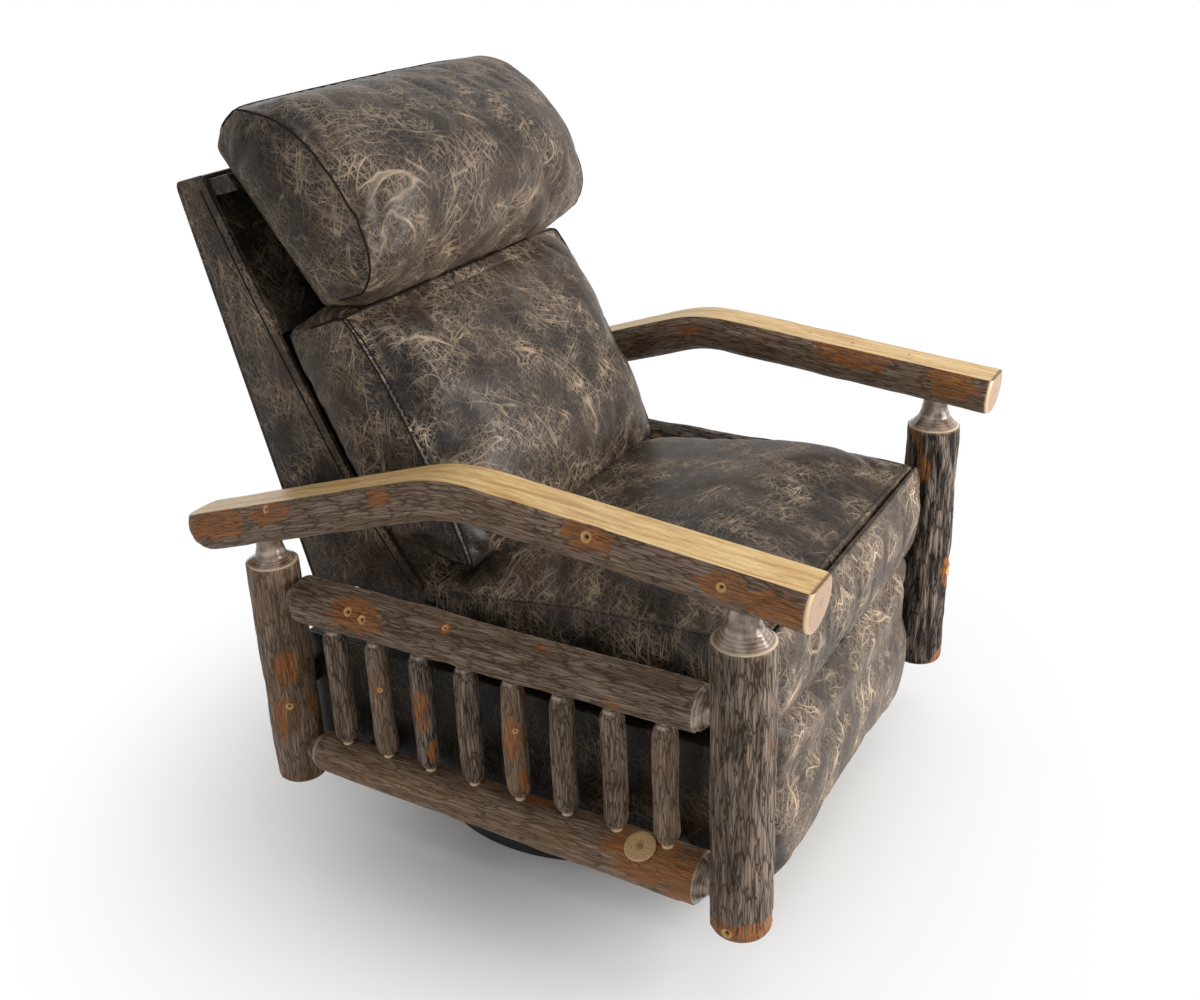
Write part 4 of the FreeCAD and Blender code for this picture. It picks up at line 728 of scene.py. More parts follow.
class RECLINER_OT_posts(Operator):
    """Four upright logs with turned necks that go into the arms"""

    bl_idname = "recliner.posts"
    bl_label = "Log posts"

    def execute(self, context):
        for side, sign in SIDES.items():
            for end, (y, radius, bark_top, neck) in POSTS.items():
                name = "%s_%s_post" % (side, end)
                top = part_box(name)[1].z / MM - LOG_FOOT
                waist = bark_top + neck * 0.42
                corners = [
                    (0, 0), (0, radius - 6), (1.5, radius - 2.5), (5, radius), (bark_top, radius),
                    (bark_top + 1.5, radius - 2.2), (bark_top + 4, radius - 6),
                    (bark_top + neck * 0.25, radius * 0.74), (waist, radius * 0.61),
                    (bark_top + neck * 0.7, TENON_R + 2.2), (bark_top + neck, TENON_R),
                    (top, TENON_R), (top, 0),
                ]
                profile = fill_profile(corners, 2.6)
                post = turn(name.replace("post", "log_post"), profile, 112)
                bark = (0.5, bark_top + 0.8)
                grow_bark(post, bark, **POST_MARKS["%s_%s" % (side, end)])
                finish_log(post, bark, LOG_FINISHES, ((bark_top + 1.4, 1.4),))
                place_log(post, (sign * POST_X, y, LOG_FOOT), (0, 0, 1), (sign, 0, 0))
                dress(post, "chassis", "hickory_bark", (), name)
        return {"FINISHED"}


RAIL_MARKS = {
    # The near rails, right_upper and right_lower, get a raised tone that lightens them: painted light from
    # above
    "right_upper": dict(seed=31, knots=((544, 33, 7), (518, 24, 7), (385, 57, 5)), depth=0.7, tone=0.3,
                        patches=((534, 28, 46, 26),)),
    "right_lower": dict(seed=37, knots=(), patches=((90, 55, 62, 44), (20, 20, 30, 60)), depth=0.6, tone=0.6),
    "left_upper": dict(seed=41, knots=((180, 30, 7), (450, 150, 6)), patches=((190, 20, 44, 22),), depth=0.9),
    "left_lower": dict(seed=47, knots=((420, 40, 8),), patches=((410, 50, 50, 30),), depth=0.65, tone=0.3),
}


# Sawn branch on the near lower rail: mm along, degrees up from outward and mm radius
SAWN_KNOT = (98.0, 64.0, 21.5)


class RECLINER_OT_rails(Operator):
    """Upper and lower log rails between the posts"""

    bl_idname = "recliner.rails"
    bl_label = "Log rails"

    def execute(self, context):
        for side, sign in SIDES.items():
            for level, (z, front, rear) in RAILS.items():
                name = "%s_%s_rail" % (side, level)
                last = RAIL_RUN
                corners = [
                    (-TENON_REACH, 0), (-TENON_REACH, TENON_R), (0, TENON_R), (2, TENON_R + 1.5),
                    (8, TENON_R + 7.5),
                    (RAIL_SHOULDER - 2, front - 1.5), (RAIL_SHOULDER, front), (last - RAIL_SHOULDER, rear),
                    (last - RAIL_SHOULDER + 2, rear - 1.5), (last - 8, TENON_R + 7.5),
                    (last - 2, TENON_R + 1.5), (last, TENON_R), (last + TENON_REACH, TENON_R),
                    (last + TENON_REACH, 0),
                ]
                profile = fill_profile(corners, 2.7)
                rail = turn("%s_%s_log_rail" % (side, level), profile, 100)
                bark = (RAIL_SHOULDER - 1, last - RAIL_SHOULDER + 1)
                grow_bark(rail, bark, **RAIL_MARKS["%s_%s" % (side, level)])
                finish_log(rail, bark, LOG_FINISHES, ((bark[0], 1.3), (bark[1], 1.3)))
                place_log(rail, (sign * POST_X, RAIL_START, z), (0, 1, 0), (sign, 0, 0))
                dress(rail, "chassis", "hickory_bark", (), name)
        self.make_sawn_knot()
        return {"FINISHED"}

    def make_sawn_knot(self):
        """The stub of a sawn-off branch on the near lower rail."""
        station, degrees, size = SAWN_KNOT
        z, front, rear = RAILS["lower"]
        radius = front + (rear - front) * station / RAIL_RUN
        corners = [
            (-12, 0), (-12, size + 4), (-3, size + 3), (0, size + 1.4), (1.6, size - 0.6),
            (1.8, size - 2), (1.8, 0),
        ]
        stub = turn("sawn_branch_knot", fill_profile(corners, 1.8), 56)
        grow_bark(stub, (-13.0, 1.2), 91, depth=0.4, lumps=1.0, patches=((-2.0, 0.0, 30.0, 90.0),))
        finish_log(stub, (-13.0, 0.9), ("unpeeled_hickory", "sawn_hickory"))
        across = math.cos(math.radians(degrees))
        up = math.sin(math.radians(degrees))
        place = (-POST_X - across * radius, RAIL_START + station, z + up * radius)
        place_log(stub, place, (-across, 0, up), (0, 1, 0))
        dress(stub, "chassis", "hickory_bark", ())


class RECLINER_OT_spindles(Operator):
    """Eight branch spindles under each upper rail"""

    bl_idname = "recliner.spindles"
    bl_label = "Branch spindles"

    def execute(self, context):
        upper, upper_front, upper_rear = RAILS["upper"]
        lower, lower_front, lower_rear = RAILS["lower"]
        for side, sign in SIDES.items():
            made_spindles = []
            for number in range(SPINDLE_COUNT):
                y = SPINDLE_FIRST + SPINDLE_PITCH * number
                share = (y - RAIL_START) / RAIL_RUN
                low = lower + lower_front + (lower_rear - lower_front) * share
                high = upper - upper_front - (upper_rear - upper_front) * share
                seed = 60 + number * 3 + (40 if sign > 0 else 0)
                thick = SPINDLE_R * (1 + 0.07 * noise.noise(Vector((seed * 1.7, 0.3, 0.8))))
                run = high - low
                corners = [
                    (-6, 0), (-6, 8), (5, 8.4), (6, 11), (9, 13.6), (14, 15.8), (22, thick),
                    (run - 22, thick), (run - 14, 15.8), (run - 8, 13.2), (run - 4, 11), (run - 3, 8.4),
                    (run + 6, 8), (run + 6, 0),
                ]
                profile = fill_profile(corners, 2.6)
                spindle = turn("spindle", profile, 56)
                bark = (9, run - 8)
                knots = ((run * 0.62, 40, 4.5),) if number in (3, 6) else ()
                patches = ((run * 0.55, 20, 34, 14), (run * 0.2, 60, 20, 9)) if number in (3, 5) else ()
                tone = 0.25 + 0.8 * noise.noise(Vector((seed * 2.3, 1.3, 0.2)))
                grow_bark(spindle, bark, seed, knots, patches, max(tone, 0.0), depth=0.5, bow=2.2, lumps=1.0)
                finish_log(spindle, bark, LOG_FINISHES, ((0, 6),))
                place_log(spindle, (sign * POST_X, y, low), (0, 0, 1), (sign, 0, 0))
                made_spindles.append(spindle)
            begin()
            for spindle in made_spindles:
                spindle.select_set(True)
            bpy.context.view_layer.objects.active = made_spindles[0]
            bpy.ops.object.join()
            joined = bpy.context.object
            joined.name = "%s_branch_spindles" % side
            dress(joined, "chassis", "hickory_bark", (), "%s_spindles" % side)
        return {"FINISHED"}


ARM_MARKS = {
    "right": dict(seed=71, knots=((284, 19, 8), (106, 7, 7), (807, 27, 6)),
                  patches=((284, 19, 40, 20), (106, 7, 30, 18), (595, 21, 20, 16), (807, 20, 40, 18),
                           (915, 10, 60, 26), (40, -10, 36, 24)), tone=0.35),
    "left": dict(seed=83, knots=((313, 88, 3.4), (238, 94, 3.6), (145, 84, 3.2), (620, 30, 7)),
                 patches=((229, 155, 60, 22), (60, 170, 40, 26), (640, 30, 44, 18)), tone=0.35),
}


class RECLINER_OT_arms(Operator):
    """Two bent log arms, planed flat on top"""

    bl_idname = "recliner.arms"
    bl_label = "Planed log arms"

    def execute(self, context):
        for side, sign in SIDES.items():
            self.make_arm(side, sign)
        return {"FINISHED"}

    def make_arm(self, side, sign):
        front_run = math.dist(ARM_FRONT, ARM_BEND)
        run = front_run + math.dist(ARM_BEND, ARM_REAR)
        corners = [
            (0, 0), (0, ARM_R - 7), (0.8, ARM_R - 4.2), (2.6, ARM_R - 1.8), (6, ARM_R - 0.4), (10, ARM_R),
        ]
        for angle in np.linspace(0, math.pi / 2, 6):
            corners.append((run - ARM_NOSE + ARM_NOSE * math.sin(angle),
                            ARM_R - ARM_NOSE + ARM_NOSE * math.cos(angle)))
        corners += [(run, 0)]
        profile = fill_profile(corners, 2.7)
        arm = turn("%s_log_arm" % side, profile, 112)
        bark = (5.0, run + 1)
        grow_bark(arm, bark, depth=0.5, lumps=1.4, **ARM_MARKS[side])
        edit_all(arm, lambda: bpy.ops.mesh.bisect(plane_co=(0, ARM_FLAT * MM, 0), plane_no=(0, 1, 0)))
        points = points_of(arm) / MM
        across = points[:, 0].copy()
        rise = points[:, 1].copy()
        along = points[:, 2].copy()
        mark(arm, "pith", np.hypot(across, rise) * MM)
        mark_grain(arm, points + np.array((140.0 * sign, 0.0, 0.0)))
        edge = np.zeros(len(points))
        edge[(rise > ARM_FLAT - 3.4) & (rise < ARM_FLAT + 0.35)] = 1.0
        end_rim = np.clip(1.2 - np.abs(along - 3.2) / 3.0, 0, 1) * (along < 9)
        mark(arm, "rim", np.maximum(edge * (along > 9), end_rim))
        top = rise > ARM_FLAT - 0.02
        rise[top] = ARM_FLAT
        for material in ("unpeeled_hickory", "varnished_hickory", "hickory_end_grain"):
            arm.data.materials.append(made(material))
        for face in arm.data.polygons:
            corners_top = all(top[v] for v in face.vertices)
            at_front = max(along[v] for v in face.vertices) < 7.5
            face.material_index = 1 if corners_top else 2 if at_front else 0
            face.use_smooth = not corners_top
        bent = np.empty_like(points)
        path = self.bend_path(front_run, run)
        stations = np.clip(along, 0, run)
        y = np.interp(stations, path[:, 0], path[:, 1])
        z = np.interp(stations, path[:, 0], path[:, 2])
        tilt = np.interp(stations, path[:, 0], path[:, 3])
        bent[:, 0] = sign * (POST_X + across)
        bent[:, 1] = y - rise * np.sin(tilt)
        bent[:, 2] = z + rise * np.cos(tilt)
        move_points(arm, bent * MM)
        edit_all(arm, face_outward)
        dress(arm, "chassis", "planed_hickory", (), "%s_arm_rest" % side)

    def bend_path(self, front_run, run):
        """Rows of distance along the arm, y, z and slope, with the bend eased over a short arc."""
        first = math.atan2(ARM_BEND[1] - ARM_FRONT[1], ARM_BEND[0] - ARM_FRONT[0])
        last = math.atan2(ARM_REAR[1] - ARM_BEND[1], ARM_REAR[0] - ARM_BEND[0])
        rows = [(0.0, ARM_FRONT[0], ARM_FRONT[1], first)]
        step = run / BEND_STEPS
        for number in range(BEND_STEPS):
            s, y, z, _ = rows[-1]
            eased = smooth_step(front_run - ARM_EASE, front_run + ARM_EASE, s + step / 2)
            slope = first + (last - first) * eased
            rows.append((s + step, y + step * math.cos(slope), z + step * math.sin(slope), slope))
        return np.array(rows)


# Leather pieces


def copy_node(node, name):
    """A merged copy of a CAD node's mesh as a new object."""
    obj = new_object(name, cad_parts[node].data.copy())
    obj.data.materials.clear()
    return edit_all(obj, lambda: bpy.ops.mesh.remove_doubles(threshold=0.03 * MM))


def seam_lines(obj, name, wanted, angle=32):
    """The sharp edges of a copied pad that a test of (a, b) end points keeps, as an edge object."""
    mesh = bmesh.new()
    mesh.from_mesh(obj.data)
    kept = []
    for edge in mesh.edges:
        if len(edge.link_faces) == 2 and edge.calc_face_angle() > math.radians(angle):
            ends = [v.co / MM for v in edge.verts]
            if wanted(ends[0], ends[1]):
                kept.append(edge)
    spine = bpy.data.meshes.new(name)
    places = {}
    for edge in kept:
        for v in edge.verts:
            places.setdefault(v, len(places))
    spine.from_pydata([v.co.copy() for v in places], [[places[v] for v in edge.verts] for edge in kept], [])
    mesh.free()
    return edit_all(
        new_object(name, spine), lambda: bpy.ops.mesh.subdivide(number_cuts=2),
        lambda: bpy.ops.mesh.remove_doubles(threshold=2 * MM))


def seam_tree(seam):
    """A search tree of a seam's points."""
    tree = KDTree(max(len(seam.data.vertices), 1))
    for index, vertex in enumerate(seam.data.vertices):
        tree.insert(vertex.co, index)
    tree.balance()
    return tree


# Distance from its seams at which a pad reaches most of its crown
CROWN_REACH = 45 * MM
CLOTH_FRAMES = 20
CLOTH_PRESSURE = 4.0


def stuff(obj, seam, held, voxel, shrink, cap, puff, relax=8):
    """Remeshes a pad, holds its seams and hidden faces, swells the rest by cloth simulation and crowns it."""
    take(obj)
    obj.data.remesh_voxel_size = voxel
    obj.data.remesh_voxel_adaptivity = 0.0
    bpy.ops.object.voxel_remesh()
    apply_modifier(obj, "Relax", "SMOOTH", factor=0.5, iterations=relax)
    edit_all(obj, lambda: bpy.ops.transform.shrink_fatten(value=-shrink))
    start = points_of(obj)
    tree = seam_tree(seam)
    group = obj.vertex_groups.new(name="held")
    fixed = [i for i, p in enumerate(start) if held(p / MM) or tree.find(p)[2] < shrink * 1.5 + voxel * 0.8]
    group.add(fixed, 1.0, "REPLACE")
    scene = bpy.context.scene
    cloth = obj.modifiers.new("Stuffing", "CLOTH")
    cloth.settings.quality = 4
    cloth.settings.mass = 0.3
    cloth.settings.tension_stiffness = 12.0
    cloth.settings.compression_stiffness = 12.0
    cloth.settings.shear_stiffness = 4.0
    cloth.settings.bending_stiffness = 0.3
    cloth.settings.use_pressure = True
    cloth.settings.uniform_pressure_force = CLOTH_PRESSURE
    cloth.settings.vertex_group_mass = "held"
    cloth.settings.shrink_min = -0.035
    cloth.settings.effector_weights.gravity = 0.0
    cloth.collision_settings.use_collision = False
    cloth.point_cache.frame_start = 1
    cloth.point_cache.frame_end = CLOTH_FRAMES
    for number in range(1, CLOTH_FRAMES + 1):
        scene.frame_set(number)
    take(obj)
    bpy.ops.object.modifier_apply(modifier=cloth.name)
    scene.frame_set(1)
    swollen = points_of(obj)
    moved = swollen - start
    far = np.linalg.norm(moved, axis=1)
    share = np.minimum(1.0, cap / np.maximum(far, 1e-9))
    move_points(obj, start + moved * share[:, None])
    crown = np.zeros(len(start))
    for index, point in enumerate(start):
        if not held(point / MM):
            crown[index] = puff * (1 - math.exp(-((tree.find(point)[2] / CROWN_REACH) ** 2)))
    move_points(obj, points_of(obj) + normals_of(obj) * crown[:, None])
    apply_modifier(obj, "Settle", "SMOOTH", factor=0.5, iterations=4)
    obj.vertex_groups.clear()
    apply_modifier(obj, "Fine", "SUBSURF", levels=1, render_levels=1)
    take(obj)
    bpy.ops.object.shade_smooth()
    return obj


def welt(seam, pad, radius, offset):
    """A round line along a seam, laid on the finished pad: a piped welt, or a sunken thread."""
    apply_modifier(seam, "Lay", "SHRINKWRAP", target=pad, wrap_method="NEAREST_SURFACEPOINT",
                   wrap_mode="ABOVE_SURFACE", offset=offset)
    apply_modifier(seam, "Ease", "SMOOTH", factor=0.5, iterations=3)
    take(seam)
    bpy.ops.object.convert(target="CURVE")
    curve = bpy.context.object
    curve.data.dimensions = "3D"
    curve.data.bevel_depth = radius
    curve.data.bevel_resolution = 3
    curve.data.use_fill_caps = True
    take(curve)
    bpy.ops.object.convert(target="MESH")
    piped = edit_all(
        bpy.context.object, lambda: bpy.ops.mesh.remove_doubles(threshold=0.02 * MM), face_outward)
    bpy.ops.object.shade_smooth()
    return piped


def shift_line(seam, name, move):
    """A copy of a seam's line with each point moved."""
    line = new_object(name, seam.data.copy())
    move_points(line, np.array([move(Vector(point)) for point in points_of(line)]))
    return line


def crease(pad, seam, depth, reach, pleat=0.0):
    """Draws a pad in along its seams, with a soft lip on each side and pleats that gather toward the seam."""
    tree = seam_tree(seam)
    points = points_of(pad)
    lifted = np.zeros(len(points))
    for index, point in enumerate(points):
        away = tree.find(point)[2] / reach
        if away < 9.0:
            gather = noise.noise(Vector(point) / (9 * MM)) + 0.6 * noise.noise(Vector(point) / (4.5 * MM))
            lip = 0.34 * depth * math.exp(-(((away - 2.1) / 0.9) ** 2))
            pleats = pleat * gather * math.exp(-((away / 3.5) ** 2))
            lifted[index] = lip - depth * math.exp(-(away ** 2)) + pleats
    move_points(pad, points + normals_of(pad) * lifted[:, None])


def rumple(pad, height):
    """Soft dents and puckers of a stuffed hide."""
    points = points_of(pad)
    lifted = np.array([
        noise.noise(Vector(point) / (80 * MM)) + 0.12 * noise.noise(Vector(point) / (26 * MM))
        for point in points])
    move_points(pad, points + normals_of(pad) * (height * lifted)[:, None])


# How far into a pad the pull on its edge reaches
EDGE_FADE = 45 * MM


def reach_edge(pad, far):
    """Draws a pad's upper edge up, or its lower edge down where far is below 0, fading out inside."""
    points = points_of(pad)
    edge = points[:, 2].max() if far > 0 else points[:, 2].min()
    points[:, 2] += far * np.clip(1 - np.abs(edge - points[:, 2]) / EDGE_FADE, 0, 1)
    move_points(pad, points)


class RECLINER_OT_seat(Operator):
    """Seat cushion and its front border, simulated, with piped seams"""

    bl_idname = "recliner.seat"
    bl_label = "Leather seat"

    def execute(self, context):
        leather = made("distressed_leather")
        radius = context.scene.recliner_leather.welt_radius
        cushion = copy_node("seat_cushion", "leather_seat")
        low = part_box("seat_cushion")[0].z / MM
        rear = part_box("seat_cushion")[1].y / MM
        seam = seam_lines(
            cushion, "seat_welts", lambda a, b: min(a.z, b.z) > low + 40 and min(a.y, b.y) < rear - 20)
        stuff(cushion, seam, lambda p: p[2] < low + 8 or p[1] > rear - 7, 6 * MM, 5 * MM, 24 * MM, 9 * MM)
        rumple(cushion, 1.5 * MM)
        crease(cushion, seam, 3.2 * MM, 4.5 * MM, 0.8 * MM)
        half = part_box("seat_cushion")[1].x
        # Painted shade: the seat's side edges, under the arms, get a mark below 0 that renders them darker
        mark(cushion, "wear_sheen_and_shade", [
            -smooth_step(half - 12 * MM, half - 2 * MM, abs(x)) for x, y, z in points_of(cushion)])
        dress(cushion, "seat", "leather", (leather,), "seat_cushion")
        piped = welt(seam, cushion, radius, 0.4 * MM)
        dress(piped, "seat", "leather", (leather,))

        border = copy_node("seat_front_border", "leather_seat_border")
        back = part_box("seat_front_border")[1].y / MM
        hem = seam_lines(border, "seat_border_hem", lambda a, b: max(a.y, b.y) < back - 4)
        stuff(border, hem, lambda p: p[1] > back - 5, 5 * MM, 3 * MM, 9 * MM, 2.5 * MM, 4)
        reach_edge(border, -8 * MM)
        rumple(border, 0.8 * MM)
        # The front border takes the lighter copy of the leather: painted light of the front lamp
        dress(border, "seat", "leather", (made("painted_light_leather"),), "seat_front_border")
        piped = welt(hem, border, radius * 0.6, -0.6 * MM)
        dress(piped, "seat", "leather", (leather,))
        return {"FINISHED"}


class RECLINER_OT_footrest(Operator):
    """Footrest pad, simulated"""

    bl_idname = "recliner.footrest"
    bl_label = "Leather footrest"

    def execute(self, context):
        pad = copy_node("footrest_pad", "leather_footrest")
        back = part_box("footrest_pad")[1].y / MM
        seam = seam_lines(pad, "footrest_seam", lambda a, b: max(a.y, b.y) < back - 30)
        stuff(pad, seam, lambda p: p[1] > back - 6, 6 * MM, 4 * MM, 12 * MM, 4 * MM, 5)
        reach_edge(pad, 5 * MM)
        rumple(pad, 1.0 * MM)
        # The footrest takes the lighter copy of the leather: painted light on its front face
        dress(pad, "footrest", "leather", (made("painted_light_leather"),), "footrest_pad")
        bpy.data.objects.remove(seam)
        return {"FINISHED"}


# The leaning back in mm: stations run up its rear face from the foot's y and z, depths go forward of it
BACK_FOOT = (342.0, 392.0)
BACK_LEAN = math.radians(14.76)
BACK_HALF = 290.0
BACK_LENGTH = 617.0
SHELL_EDGE = ((-15.0, 206.0), (166.0, 143.0), (380.0, 97.0), (617.0, 52.0))
SHELL_FOLD = 13.0
# How far the lumbar cushion's top is lifted, its station then, and the radius of its upper edges
LUMBAR_LIFT = 5
LUMBAR_TOP = 404
LUMBAR_ROUND = 30
# The bolster's upper rear edge, as station and depth, and how far its foot hangs
BOLSTER_CORNER = (662.0, 72.0)
BOLSTER_HANG = 7
# Section of the roll of leather behind the seat, as y and z
TUCK = ((113.0, 394.0), (84.0, 526.0), (216.0, 562.0), (200.0, 394.0))


def on_back(station, depth):
    """The y and z of a point that far up the leaning back and that far forward of its rear face."""
    up = (math.sin(BACK_LEAN), math.cos(BACK_LEAN))
    return BACK_FOOT[0] + up[0] * station - up[1] * depth, BACK_FOOT[1] + up[1] * station + up[0] * depth


def back_place(y, z):
    """The station and depth of a point, the other way round."""
    up = (math.sin(BACK_LEAN), math.cos(BACK_LEAN))
    dy = y - BACK_FOOT[0]
    dz = z - BACK_FOOT[1]
    return up[0] * dy + up[1] * dz, -up[1] * dy + up[0] * dz


def rounded(first, second, radius):
    """Distances inside the two faces beside an edge, brought in where a rounded edge is."""
    far = np.hypot(radius - first, radius - second)
    outside = (first < radius) & (second < radius) & (far > radius)
    share = np.where(outside, radius / np.maximum(far, 1e-6), 1.0)
    return (np.where(outside, radius - (radius - first) * share, first),
            np.where(outside, radius - (radius - second) * share, second))


def pillow(u, v):
    """0 along the edges of a unit square and 1 at its middle."""
    return 16 * u * (1 - u) * v * (1 - v)


def shell_edge(station):
    """Depth of the shell's front edge at a station."""
    return float(np.interp(station, [p[0] for p in SHELL_EDGE], [p[1] for p in SHELL_EDGE]))


class RECLINER_OT_back(Operator):
    """Lumbar cushion, headrest bolster and the leather shell behind them"""

    bl_idname = "recliner.back"
    bl_label = "Leather back"

    def execute(self, context):
        leather = made("distressed_leather")
        thread = made("waxed_thread")
        radius = context.scene.recliner_leather.welt_radius
        lumbar = copy_node("lumbar_cushion", "leather_lumbar")
        seam = seam_lines(lumbar, "lumbar_welts", lambda a, b: self.forward(a) > 45 and self.forward(b) > 45)
        stuff(lumbar, seam, lambda p: self.forward(Vector(p)) < 12, 6 * MM, 6 * MM, 27 * MM, 13 * MM, 20)
        rumple(lumbar, 1.8 * MM)
        crease(lumbar, seam, 4.2 * MM, 3.6 * MM, 1.0 * MM)
        stitch = shift_line(seam, "lumbar_stitches", self.inward)
        crease(lumbar, stitch, 3.0 * MM, 3.2 * MM)
        for piece in (lumbar, seam, stitch):
            self.round_lumbar(piece)
        dress(lumbar, "back", "leather", (leather,), "lumbar_cushion")
        dress(welt(seam, lumbar, 1.5 * MM, 0.0), "back", "leather", (thread,))
        dress(welt(stitch, lumbar, 1.3 * MM, 0.0), "back", "leather", (thread,))

        bolster = copy_node("headrest_bolster", "leather_headrest")
        seam = seam_lines(bolster, "headrest_welts", lambda a, b: self.ahead(a) > 30 and self.ahead(b) > 30)
        stuff(bolster, seam, lambda p: self.ahead(Vector(p)) < 9, 6 * MM, 6 * MM, 27 * MM, 13 * MM, 20)
        rumple(bolster, 1.8 * MM)
        crease(bolster, seam, 4.6 * MM, 3.6 * MM, 1.2 * MM)
        for piece in (bolster, seam):
            self.round_bolster(piece)
        points = points_of(bolster)
        low = points[:, 2].min()
        reach = np.abs(points[:, 0]).max() - 22 * MM
        # The headrest's lower front is marked lighter: partly rubbed wear, partly painted highlight where the
        # front light falls
        mark(bolster, "wear_sheen_and_shade", [
            smooth_step(low + 150 * MM, low + 20 * MM, z) * (abs(x) < reach) for x, y, z in points])
        dress(bolster, "back", "leather", (leather,), "headrest_bolster")
        dress(welt(seam, bolster, 1.6 * MM, 0.0), "back", "leather", (thread,))

        self.make_tuck(leather)
        self.make_shell(leather, thread, radius)
        # The upper back pad takes the darker copy of the leather: painted shade in the gap under the headrest
        for node, name, material, slot in (
                ("back_upper_pad", "leather_upper_back", made("painted_shade_leather"), "leather"),
                ("back_foam_core", "back_foam", made("painted_shade_foam"), "foam"),
                ("back_webbing", "back_straps", made("jute_webbing"), "webbing")):
            pad = copy_node(node, name)
            apply_modifier(pad, "Round", "BEVEL", width=1.2 * MM, segments=2, limit_method="ANGLE")
            if slot == "foam":
                apply_modifier(pad, "Under the leather", "DISPLACE", strength=-3 * MM, mid_level=0.0)
            dress(pad, "back", slot, (material,), node)
        return {"FINISHED"}

    def round_lumbar(self, piece):
        """Lifts the lumbar cushion's upper edge to the headrest and rounds its upper corners."""
        points = points_of(piece) / MM
        station, depth = back_place(points[:, 1], points[:, 2])
        station += LUMBAR_LIFT * np.clip(1 - (402 - station) / 80, 0, 1)
        front = 232 + 0.25 * (400 - station)
        over, under = rounded(front - depth, LUMBAR_TOP - station, LUMBAR_ROUND)
        depth = front - over
        side, under = rounded(BACK_HALF - 2 - np.abs(points[:, 0]), under, LUMBAR_ROUND)
        points[:, 0] = np.sign(points[:, 0]) * (BACK_HALF - 2 - side)
        points[:, 1], points[:, 2] = on_back(LUMBAR_TOP - under, depth)
        move_points(piece, points * MM)

    def round_bolster(self, piece):
        """Lets the bolster's foot hang onto the lumbar cushion, and rounds its upper rear edge and ends."""
        points = points_of(piece) / MM
        station, depth = back_place(points[:, 1], points[:, 2])
        station -= BOLSTER_HANG * np.clip(1 - (station - 400) / 90, 0, 1)
        rise = station - BOLSTER_CORNER[0]
        deep = depth - BOLSTER_CORNER[1]
        ahead = 0.394 * rise + 0.919 * deep + 6
        below = 0.437 * deep - 0.9 * rise + 6
        ahead_now, below_now = rounded(ahead, below, 84)
        side, ahead_now = rounded(BACK_HALF - 4 - np.abs(points[:, 0]), ahead_now, 34)
        side, below_now = rounded(side, below_now, 24)
        points[:, 0] = np.sign(points[:, 0]) * (BACK_HALF - 4 - side)
        station += 0.437 * (ahead_now - ahead) - 0.919 * (below_now - below)
        depth += 0.9 * (ahead_now - ahead) + 0.394 * (below_now - below)
        points[:, 1], points[:, 2] = on_back(station, depth)
        move_points(piece, points * MM)

    def forward(self, point):
        """How far a point stands forward of the shell's front edge line."""
        station, depth = back_place(point.y, point.z)
        return depth - shell_edge(station)

    def ahead(self, point):
        """How far a point stands forward of the bolster's sloping rear face."""
        station, depth = back_place(point.y, point.z)
        return depth - (180.0 - 108.0 * (station - 410.0) / 252.0)

    def make_tuck(self, leather):
        """The roll of leather that closes the gap between the lumbar cushion, the shell and the seat."""
        begin()
        bpy.ops.mesh.primitive_cube_add(size=1.0)
        tuck = bpy.context.object
        tuck.name = "leather_back_tuck"
        corners = {(-1, -1): TUCK[0], (-1, 1): TUCK[1], (1, 1): TUCK[2], (1, -1): TUCK[3]}
        for vertex in tuck.data.vertices:
            y, z = corners[(1 if vertex.co.y > 0 else -1, 1 if vertex.co.z > 0 else -1)]
            vertex.co = Vector((math.copysign(BACK_HALF - 8, vertex.co.x), y, z)) * MM
        apply_modifier(tuck, "Round", "BEVEL", width=13 * MM, segments=4)
        edit_all(tuck, lambda: bpy.ops.mesh.subdivide(number_cuts=12))
        rumple(tuck, 2.0 * MM)
        bpy.ops.object.shade_smooth()
        dress(tuck, "back", "leather", (leather,))

    def inward(self, point):
        """The second row of stitches, on the inner side of the lumbar cushion's side seams."""
        if abs(point.x) < 200 * MM:
            return point
        return point - Vector((math.copysign(11 * MM, point.x), 0, 0))

    def make_shell(self, leather, thread, radius):
        """The outer back: two sides, rear and top as one sheet with rolled corners."""
        begin()
        rows = 40
        mesh = bmesh.new()
        deep = 12
        wide = 30

        def sheet(count_u, count_v, place):
            grid = [[mesh.verts.new(Vector(place(u / count_u, v / count_v)) * MM) for v in range(count_v + 1)]
                    for u in range(count_u + 1)]
            for u in range(count_u):
                for v in range(count_v):
                    mesh.faces.new((grid[u][v], grid[u + 1][v], grid[u + 1][v + 1], grid[u][v + 1]))

        def side(sign):
            def place(u, v):
                station = SHELL_EDGE[0][0] * u * (1 - v) + BACK_LENGTH * v
                depth = u * shell_edge(station)
                y, z = on_back(station, depth)
                swell = 3.0 * pillow(u, v) ** 0.5
                return sign * (BACK_HALF + swell), y, z
            return place

        def rear(u, v):
            swell = 7.0 * pillow(u, v) ** 0.5
            y, z = on_back(BACK_LENGTH * v, -swell)
            return BACK_HALF * (2 * u - 1), y, z

        def top(u, v):
            swell = 2.0 * pillow(u, v) ** 0.5
            y, z = on_back(BACK_LENGTH + swell, SHELL_EDGE[-1][1] * v)
            return BACK_HALF * (2 * u - 1), y, z

